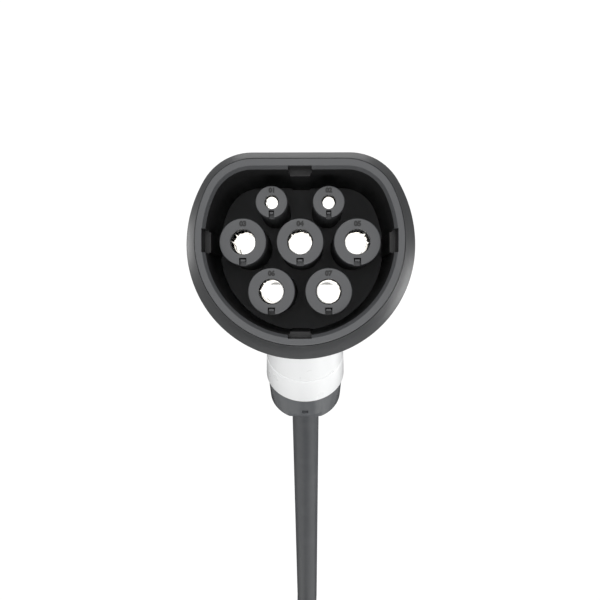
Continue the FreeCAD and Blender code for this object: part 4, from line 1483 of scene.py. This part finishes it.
    def build(self) -> tuple[Piece, Piece]:
        """Make both mouldings, the lower one with its screw wells.

        Returns:
            The upper and the lower moulding.
        """
        upper, lower = smooth(self.shell(True), 40), self.shell(False)
        head, hole = self.screw_head + self.well_gap, self.screw_radius + self.well_gap
        outer, far, top = head + self.well_wall, -self.well_reach, -self.well_top
        rods, wells = [], []
        for joint, up, seat in self.seats():
            rods.append(turned("boss", [(far, 0), (far, outer), (top, outer), (top, 0)], joint, up, 40))
            profile = [(far, 0), (far, head), (-seat, head), (-seat, hole), (OVERCUT, hole), (OVERCUT, 0)]
            wells.append(turned("well", profile, joint, up, 40))
        inset, steps = self.core_inset, self.core_steps
        start, length = self.front + inset, self.length_end - self.front - 2 * inset
        rings = [self.full_ring(start + length * i / steps, -self.wall / 2) for i in range(steps + 1)]
        core = loft("core", rings, False)
        bosses = carve(join("bosses", rods), [core], "INTERSECT")
        carve(lower, [bosses], "UNION")
        return upper, smooth(carve(lower, wells), 40)

    def screw(self) -> Piece:
        """Pan-head screw with a cross recess, its shank along +Z from its seat.

        Returns:
            The screw.
        """
        top, radius, pilot, end = -self.screw_height, self.screw_head, self.pilot, self.shank + self.tip
        profile = rounded(
            [
                (top, 0, 0),
                (top, radius * self.crown, 0.5),
                (top * self.crown_edge, radius, 0.4),
                (0, radius, 0.1),
                (0, pilot, 0),
                (self.shank, pilot, 0),
                (end, self.point, 0),
                (end, 0, 0),
            ],
            5,
        )
        piece = turned("housing_screw", profile, ORIGIN, Z_AXIS, 40)
        long, wide, deep = self.cross
        low, high = Vector((-long, -wide, top - self.cross_over)), Vector((long, wide, top + deep))
        turns = [Matrix.Rotation(math.radians(turn), 3, "Z") for turn in (0, 90)]
        return carve(piece, [box("cross", low, high, turn) for turn in turns])

    def screws(self) -> Piece:
        """Set all six screws on their seats.

        Returns:
            The screws.
        """
        mesh = bpy.data.meshes.new("housing_screws")
        seats = self.seats()
        mesh.from_pydata([tuple((joint - up * seat) * MM) for joint, up, seat in seats], [], [])
        layer = mesh.attributes.new("seat_axis", "FLOAT_VECTOR", "POINT")
        for i, (_, up, _) in enumerate(seats):
            layer.data[i].vector = up
        carrier = put_in_scene("housing_screws", mesh)
        unit = self.screw()
        run_tree(carrier, seat_tree(), {"Piece": unit, "Material": PALETTE.get(SCREW_ZINC)})
        discard(unit)
        return smooth(carrier)

    def dress(self, shells: tuple[Piece, Piece], screws: Piece) -> None:
        """Finish the mouldings and screws.

        Args:
            shells: the upper and the lower moulding.
            screws: all six screws.
        """
        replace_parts(dress(shells[0], Slot.GRIP), "upper_shell")
        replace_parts(dress(shells[1], Slot.GRIP), "lower_shell")
        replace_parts(dress(screws, Slot.SCREW), "shell_screws")


@dataclass
class GripEnd:
    """White ring in the grip's end and the dark gland screwed on its nose."""

    joint: float = 0.05
    ring_radius: float = 17.4
    swell: float = 0.6
    spigot: float = 14.1
    spigot_length: float = 10.0
    bore: float = 7.4
    nose: float = 13.4
    nose_length: float = 9.0
    nose_flare: float = 3.0  # of the bore, at the nose's end
    gland_radius: float = 17.3
    gland_tip: float = 16.6
    gland_wall: float = 3.4
    gland_rim: float = 2.6
    gland_dish: float = 1.2
    thread_gap: float = 0.1
    neck_wall: float = 1.5
    neck_length: float = 3.6
    notch_width: float = 16.6
    notch_depth: float = 3.4
    notch_reach: float = 1.8
    window: Point = (2.9, 2.6)
    window_back: float = 6.2
    window_reach: float = 2.0
    mouth: float = 7.0

    def ring(self) -> Piece:
        """The white ring.

        Returns:
            The ring.
        """
        last, wide = SPINE.ring_end - SPINE.grip_end, self.ring_radius + self.swell
        inside, end = -self.spigot_length, last + self.nose_length
        profile = rounded(
            [
                (inside, self.bore, 0.3),
                (inside, self.spigot, 0.5),
                (self.joint, self.spigot, 0.0),
                (self.joint, self.ring_radius, 0.45),
                (last, wide, 0.45),
                (last, self.nose, 0.0),
                (end, self.nose, 0.5),
                (end, self.bore + self.nose_flare, 0.2),
                (last, self.bore, 0.2),
            ]
        )
        return smooth(turned("grip_end_moulding", profile, SPINE.on_handle(SPINE.grip_end), SPINE.axis, 128))

    def gland(self) -> Piece:
        """The dark collar with its notch and window.

        Returns:
            The collar.
        """
        length, tip, mouth = SPINE.gland_end - SPINE.ring_end, self.gland_tip, self.mouth
        neck, end, step = mouth + self.neck_wall, length + self.neck_length, length - self.gland_wall
        profile = rounded(
            [
                (self.joint, self.nose + self.thread_gap, 0.0),
                (self.joint, self.gland_radius, 0.3),
                (length, tip, 0.3),
                (length, tip - self.gland_rim, 0.4),
                (length - self.gland_dish, neck, 0.5),
                (end, neck, 0.7),
                (end, mouth, 0.2),
                (step, mouth, 0.0),
                (step, self.nose + self.thread_gap, 0.0),
            ]
        )
        piece = turned("gland_nut", profile, SPINE.on_handle(SPINE.ring_end), SPINE.axis, 128)
        turn = Matrix((X_AXIS, SPINE.axis, SPINE.up)).transposed().to_4x4()
        edge = Matrix.Translation(SPINE.on_handle(SPINE.gland_end) - SPINE.up * tip) @ turn
        high = Vector((self.notch_width / 2, self.notch_depth, self.notch_reach))
        notch = box("notch", -high, high, edge)
        middle = SPINE.on_handle(SPINE.gland_end - self.window_back) - SPINE.up * self.gland_radius
        high = Vector((self.window[0] / 2, self.window[1] / 2, self.window_reach))
        window = box("window", -high, high, Matrix.Translation(middle) @ turn)
        return smooth(carve(piece, [notch, window]))

    def dress(self, ring: Piece, gland: Piece) -> None:
        """Finish both."""
        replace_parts(dress(ring, Slot.GRIP), "grip_end_ring")
        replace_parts(dress(gland, Slot.GLAND), "gland_collar")


@dataclass
class Lead:
    """The free lead: straight out of the gland, down and round onto its coil, then to its plug."""

    diameter: float = 13.0
    length: float = 5130.0
    ground: float = -433.3
    turn_steps: int = 16
    middle: float = 71.5  # radius at the middle of the coil
    order: int = 3
    spline_steps: int = 6
    round_steps: int = 10

    def run(self) -> list[Vector]:
        """Control points from the gland to the coil; the third keeps the straight to its corner."""
        return [
            SPINE.on_handle(78),
            SPINE.on_handle(270.2),
            SPINE.on_handle(355),
            Vector((-14.5, 393.1, -327.9)),
            Vector((-31.5, 335.2, -387.8)),
            Vector((-42.8, 261.0, -387.8)),
        ]

    def tail(self) -> list[Vector]:
        """Control points from the coil to the plug."""
        return [
            Vector((-62.1, 263.8, -426.8)),
            Vector((-70.2, 210.5, -426.8)),
            Vector((-61.4, 153.0, -415.7)),
            Vector((-50.9, 115.0, -415.7)),
        ]

    def centre(self) -> tuple[Vector, float]:
        """Where the coil lies.

        Returns:
            The middle of the coil and the angle where the lead meets it.
        """
        before, last = self.run()[-2:]
        heading = Vector((last.x - before.x, last.y - before.y, 0)).normalized()
        radial = Vector((heading.y, -heading.x, 0))
        middle = last - radial * self.middle
        return Vector((middle.x, middle.y, self.ground)), math.atan2(radial.y, radial.x)

    def coil(self) -> list[Vector]:
        """Control points of the coil: flat spirals a diameter apart, one layer on another.

        Returns:
            The points, from the top layer to the bottom one.
        """
        d = self.diameter
        inner, outer = self.middle - 1.5 * d, self.middle + 1.5 * d
        level = [d * (k + 0.5) for k in range(4)]
        stretches = (
            (360, self.middle, self.middle - 0.5 * d, level[3], level[3]),
            (60, self.middle - 0.5 * d, inner + 0.5 * d, level[3], level[2]),
            (900, inner + 0.5 * d, outer, level[2], level[2]),
            (60, outer, outer, level[2], level[1]),
            (1080, outer, inner, level[1], level[1]),
            (60, inner, inner, level[1], level[0]),
            (1080, inner, outer, level[0], level[0]),
        )  # degrees, radius and height from and to
        centre, start = self.centre()
        step = 360 / self.turn_steps
        points, passed, angle = [], 0.0, step
        for sweep, r0, r1, z0, z1 in stretches:
            while angle <= passed + sweep - 1e-6:
                t = (angle - passed) / sweep
                ease = t * t * (3 - 2 * t)
                radius, height = r0 + (r1 - r0) * t, z0 + (z1 - z0) * ease
                a = start + math.radians(angle)
                points.append(centre + Vector((radius * math.cos(a), radius * math.sin(a), height)))
                angle += step
            passed += sweep
        return points

    def build(self) -> Piece:
        """Draw one open spline through the whole lead.

        Returns:
            The lead as a curve.
        """
        points = self.run() + self.coil() + self.tail()
        curve = bpy.data.curves.new("charging_lead", "CURVE")
        curve.dimensions = "3D"
        spline = curve.splines.new("NURBS")
        spline.points.add(len(points) - 1)
        for point, place in zip(spline.points, points):
            point.co = (*(place * MM), 1.0)
        spline.order_u = self.order
        spline.use_endpoint_u = True
        spline.resolution_u = self.spline_steps
        curve.bevel_depth = self.diameter / 2 * MM
        curve.bevel_resolution = self.round_steps
        curve.use_fill_caps = True
        return put_in_scene("charging_lead", curve)

    def dress(self, piece: Piece, on_it: Sequence[Piece]) -> None:
        """Args:
            piece: the lead.
            on_it: the plug's pieces; not used.
        """
        dress(piece, Slot.SHEATH)
        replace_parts(piece, "cable_run", "cable_coil", "cable_tail")


@dataclass
class FarPlug:
    """Round plug on the lead's far end: boot, shell, fluted coupling nut, insert and pins."""

    shell_radius: float = 16.0
    shell_length: float = 42.0
    shell_neck: float = 13.6
    shell_cone: float = 3.0
    shell_wall: float = 1.2
    boot_length: float = 30.0
    boot_back: float = 20.0
    boot_tip: float = 8.0
    boot_radius: float = 13.2
    boot_land: float = 6.0
    boot_overlap: float = 12.0  # inside the shell
    grooves: int = 4
    groove_pitch: float = 7.0
    groove_from: float = 8.8  # radius of the boot at its first groove
    groove_growth: float = 0.9
    groove_depth: float = 1.0
    groove_width: float = 3.0
    groove_side: float = 0.6
    groove_swell: float = 0.3
    nut_radius: float = 17.6
    nut_length: float = 18.0
    nut_gap: float = 0.2
    nut_clear: float = 1.0
    flutes: int = 20
    flute_radius: float = 1.6
    flute_start: float = 2.5
    flute_over: float = 3.0
    flute_out: float = 0.9
    insert_radius: float = 13.2
    insert_thick: float = 5.0
    insert_gap: float = 0.1
    insert_rim: float = 1.2
    insert_slope: float = 0.4
    insert_dish: float = 0.5
    ring_pins: int = 6
    pin_foot: float = 1.0
    pin_circle: float = 8.0
    pin_length: float = 12.0
    pin_radius: float = 2.0

    def place(self, lead: Lead) -> tuple[Vector, Vector]:
        """Where the lead enters the plug, and the plug's axis."""
        before, last = lead.tail()[-2:]
        return last, (last - before).normalized()

    @property
    def start(self) -> float:
        """Distance of the shell's back from the plug's base."""
        return self.boot_length - self.boot_overlap

    @property
    def end(self) -> float:
        """Distance of the shell's open end from the plug's base."""
        return self.start + self.shell_length

    @property
    def seat(self) -> float:
        """Distance of the insert's back from the plug's base."""
        return self.end - self.insert_thick

    def boot(self, base: Vector, axis: Vector, bore: float) -> Piece:
        """Tapered strain relief with ring grooves.

        Args:
            base: the plug's base.
            axis: the plug's axis.
            bore: the lead's radius.

        Returns:
            The boot.
        """
        tip, start, side, width = -self.boot_back, self.start, self.groove_side, self.groove_width
        corners = [(tip, bore, 0.2), (tip, self.boot_tip, 0.6)]
        for i in range(self.grooves):
            at, radius = self.groove_pitch * (i - 2), self.groove_from + self.groove_growth * i
            low = radius - self.groove_depth
            corners += [(at, radius, 0.35), (at + side, low, 0.3)]
            corners += [(at + width - side, low, 0.3), (at + width, radius + self.groove_swell, 0.35)]
        corners += [(start - self.boot_land, self.boot_radius, 0.3), (start, self.boot_radius, 0.0), (start, bore, 0.0)]
        return smooth(turned("plug_strain_relief", rounded(corners), base, axis, 64))

    def shell(self, base: Vector, axis: Vector) -> Piece:
        """Body of the plug.

        Args:
            base: the plug's base.
            axis: the plug's axis.

        Returns:
            The shell.
        """
        start, end, seat, sleeve = self.start, self.end, self.seat, self.insert_radius + self.shell_wall
        step = end - self.nut_length - self.nut_clear
        corners = [(start, 0, 0), (start, self.shell_neck, 0.5)]
        corners += [(start + self.shell_cone, self.shell_radius, 1.2), (step, self.shell_radius, 0.5)]
        corners += [(step, sleeve, 0.0), (end, sleeve, 0.3), (end, self.insert_radius, 0.2)]
        corners += [(seat, self.insert_radius, 0.0), (seat, 0, 0)]
        return smooth(turned("plug_body", rounded(corners), base, axis))

    def nut(self, base: Vector, axis: Vector) -> Piece:
        """Coupling nut with flutes cut round it.

        Args:
            base: the plug's base.
            axis: the plug's axis.

        Returns:
            The nut.
        """
        start, end, r = self.end - self.nut_length, self.end, self.nut_radius
        bore = self.insert_radius + self.shell_wall + self.nut_gap
        corners = [(start, bore, 0.2), (start, r, 0.8), (end, r, 0.8), (end, bore, 0.3)]
        piece = turned("plug_coupling_nut", rounded(corners), ORIGIN, Z_AXIS, 120)
        low, high, groove = start + self.flute_start, end + self.flute_over, self.flute_radius
        flute = turned("flute", [(low, 0), (low, groove), (high, groove), (high, 0)], ORIGIN, Z_AXIS, 24)
        values = {"Count": self.flutes, "Radius": (r + self.flute_out) * MM, "Material": PALETTE.get(PLUG_ABS)}
        carve(piece, [run_tree(flute, ring_tree(), values)])
        piece.data.transform(self.stand(base, axis))
        return smooth(piece)

    def stand(self, base: Vector, axis: Vector) -> Matrix:
        """Matrix that sets a piece made along +Z onto the plug's axis."""
        turn = axis.to_track_quat("Z", "Y").to_matrix().to_4x4()
        return Matrix.Translation(base * MM) @ turn

    def insert(self, base: Vector, axis: Vector) -> Piece:
        """Insulating disc, its face just inside the shell's rim.

        Args:
            base: the plug's base.
            axis: the plug's axis.

        Returns:
            The disc.
        """
        start, end, r = self.seat, self.end, self.insert_radius - self.insert_gap
        face, rim = end - self.insert_dish, r - self.insert_rim
        corners = [(start, 0, 0), (start, r, 0), (end, r, 0.4), (end, rim, 0.2)]
        corners += [(face, rim - self.insert_slope, 0.2), (face, 0, 0)]
        return smooth(turned("plug_face", rounded(corners), base, axis))

    def pins(self, base: Vector, axis: Vector) -> Piece:
        """Seven pins, six on a circle and one in the middle.

        Args:
            base: the plug's base.
            axis: the plug's axis.

        Returns:
            The pins.
        """
        foot, r = self.seat + self.pin_foot, self.pin_radius
        tip = foot + self.pin_length
        profile = rounded([(foot, 0, 0), (foot, r, 0), (tip, r, 1.2), (tip, 0, 0)], 6)
        middle, outer = (turned("pin", profile, ORIGIN, Z_AXIS, 32) for _ in range(2))
        values = {"Count": self.ring_pins, "Radius": self.pin_circle * MM, "Material": PALETTE.get(PIN_NICKEL)}
        piece = join("plug_contact_pins", [middle, run_tree(outer, ring_tree(), values)])
        piece.data.transform(self.stand(base, axis))
        return smooth(piece)

    def build(self, lead: Lead) -> dict[str, Piece]:
        """Make every piece of the plug.

        Args:
            lead: the lead that it ends.

        Returns:
            The pieces by the CAD node that each stands for.
        """
        base, axis = self.place(lead)
        return {
            "plug_boot": self.boot(base, axis, lead.diameter / 2),
            "plug_shell": self.shell(base, axis),
            "coupling_nut": self.nut(base, axis),
            "plug_insert": self.insert(base, axis),
            "plug_pins": self.pins(base, axis),
        }

    def dress(self, pieces: dict[str, Piece]) -> None:
        """Finish the plug.

        Args:
            pieces: its pieces by CAD node.
        """
        slots = {
            "plug_boot": Slot.SEAL,
            "plug_shell": Slot.PLUG,
            "coupling_nut": Slot.PLUG,
            "plug_insert": Slot.INSULATOR,
            "plug_pins": Slot.PLUG_PIN,
        }
        for node, piece in pieces.items():
            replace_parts(dress(piece, slots[node]), node)


@dataclass
class InnerParts:
    """CAD parts inside the housing that keep their shape and get their real finishes."""

    replaced: frozenset[str]

    def dress(self) -> None:
        """Give each remaining node the finish of its slot."""
        for part in frame["record"]["subparts"]:
            name = part["node"]
            if name in self.replaced:
                continue
            node = frame["nodes"][name]
            material = PALETTE.get(FINISHES[Slot(part["material_slot"])])
            node.data.materials.clear()
            node.data.materials.append(material)
            LOG.info("%s: kept, %s", name, material.name)


@dataclass(frozen=True)
class Lamp:
    """A soft rectangular light that the camera doesn't see."""

    name: str
    at: Corner  # metres
    target: Corner  # metres
    sides: Point  # metres
    power: float  # watts

    def hang(self) -> None:
        """Put the light in the scene."""
        data = bpy.data.lights.new(self.name, "AREA")
        data.shape = "RECTANGLE"
        data.size, data.size_y = self.sides
        data.energy = self.power
        lamp = put_in_scene(self.name, data)
        lamp.location = self.at
        lamp.visible_camera = False
        lamp.rotation_euler = (Vector(self.target) - Vector(self.at)).to_track_quat("-Z", "Y").to_euler()


@dataclass
class Studio:
    """Floor, lights, white surroundings and the camera of the photograph."""

    camera_at: Corner = (2.86, -206.0, -14.5)
    yaw: float = 0.777  # degrees to the left
    pitch: float = -0.083  # degrees up
    lens: float = 50.0
    sensor: float = 36.0
    nearest: float = 5.0
    board: Corner = (2.5, -3.0, 0.62)  # metres: half width, near edge and far edge
    backdrop: float = 1.05  # strength of the white that the camera sees
    walls: tuple[tuple[str, float, float, float], ...] = (
        ("Y", -0.1, -0.85, 0.85),
        ("Y", -0.7, -0.97, 0.7),
        ("Z", 0.3, 0.6, 0.33),
        ("X", -0.3, -0.5, 0.2),
        ("X", 0.3, 0.5, 0.15),
    )  # axis, where its light starts and is full, strength
    lamps: tuple[Lamp, ...] = (
        Lamp("front", (-0.1, -0.5, 0.45), (0, 0.05, 0), (0.3, 0.3), 0.8),
        Lamp("back", (0.0, 0.5, 0.4), (0, 0.05, 0), (0.34, 0.1), 0.2),
        Lamp("left", (-0.5, 0.45, 0.04), (0, 0.05, 0), (0.08, 0.16), 0.5),
        Lamp("right", (0.45, 0.32, -0.16), (0, 0.17, -0.08), (0.25, 0.25), 1.3),
        Lamp("low", (0.0, -0.36, -0.29), (0, 0.17, -0.08), (0.3, 0.15), 1.25),
    )

    def camera(self) -> None:
        """Set the camera, nearly square to the mating face."""
        lens = bpy.data.cameras.new("view")
        lens.lens = self.lens
        lens.sensor_width = self.sensor
        lens.clip_start = self.nearest * MM
        eye = put_in_scene("view", lens)
        yaw, pitch = math.radians(self.yaw), math.radians(self.pitch)
        heading = Vector((-math.sin(yaw) * math.cos(pitch), math.cos(yaw) * math.cos(pitch), math.sin(pitch)))
        eye.location = Vector(self.camera_at) * MM
        eye.rotation_euler = heading.to_track_quat("-Z", "Y").to_euler()
        bpy.context.scene.camera = eye

    def world(self) -> None:
        """Plain white behind the object; as light, a room bright in front, dimmer above and at the sides."""
        world = bpy.data.worlds.new("studio")
        bpy.context.scene.world = world
        world.use_nodes = True
        tree = world.node_tree
        tree.nodes.clear()
        way = add_node(tree, "ShaderNodeTexCoord").outputs["Generated"]
        axes = add_node(tree, "ShaderNodeSeparateXYZ", {0: way})
        total: Any = 0.0
        for axis, near, far, strength in self.walls:
            fade = {"Value": axes.outputs[axis], "From Min": near, "From Max": far, "To Max": strength}
            wall = add_node(tree, "ShaderNodeMapRange", fade, interpolation_type="SMOOTHSTEP")
            total = add_node(tree, "ShaderNodeMath", {0: wall.outputs[0], 1: total}, operation="ADD").outputs[0]
        light = add_node(tree, "ShaderNodeBackground", {"Color": WHITE, "Strength": total})
        plain = add_node(tree, "ShaderNodeBackground", {"Color": WHITE, "Strength": self.backdrop})
        seen = add_node(tree, "ShaderNodeLightPath").outputs["Is Camera Ray"]
        both = add_node(tree, "ShaderNodeMixShader", {0: seen, 1: light.outputs[0], 2: plain.outputs[0]})
        add_node(tree, "ShaderNodeOutputWorld", {"Surface": both.outputs[0]})

    def floor(self, level: float) -> None:
        """Pale board that the coil lies on; its far edge is below the camera's view.

        Args:
            level: height of the ground in millimetres.
        """
        (half, near, far), z = self.board, level * MM
        mesh = bpy.data.meshes.new("floor")
        mesh.from_pydata([(-half, near, z), (half, near, z), (half, far, z), (-half, far, z)], [], [(0, 1, 2, 3)])
        board = put_in_scene("floor", mesh)
        mesh.materials.append(PALETTE.get(FLOOR_BOARD))

    def build(self, level: float) -> None:
        """Set up everything round the connector.

        Args:
            level: height of the ground in millimetres.
        """
        self.camera()
        self.world()
        self.floor(level)
        for lamp in self.lamps:
            lamp.hang()
        bpy.context.scene.view_settings.view_transform = "Standard"


def main() -> None:
    """Build and dress the connector, sub-assembly by sub-assembly."""
    logging.basicConfig(level=logging.INFO, format="%(name)s: %(message)s")
    lead, plug = Lead(), FarPlug()
    Studio().build(lead.ground)
    cord = lead.build()
    plug_pieces = plug.build(lead)
    plug.dress(plug_pieces)
    lead.dress(cord, list(plug_pieces.values()))
    shroud, bezel, carrier, contacts = MatingShroud(), FrontBezel(), ContactCarrier(), Contacts()
    shroud.dress(shroud.build())
    bezel.dress(bezel.build())
    carrier.dress(*carrier.build(), carrier.numbers())
    contacts.dress(contacts.build())
    housing, grip_end = Housing(), GripEnd()
    housing.dress(housing.build(), housing.screws())
    grip_end.dress(grip_end.ring(), grip_end.gland())
    stood_for = {"mating_shroud", "front_bezel", "contact_carrier", "contact_towers", "upper_shell", "lower_shell"}
    stood_for |= {"shell_screws", "grip_end_ring", "gland_collar", "cable_run", "cable_coil", "cable_tail"}
    stood_for |= {*plug_pieces} | {f"contact_{name}" for name in PATTERN.contacts()}
    InnerParts(frozenset(stood_for)).dress()


if __name__ == "__main__":
    main()
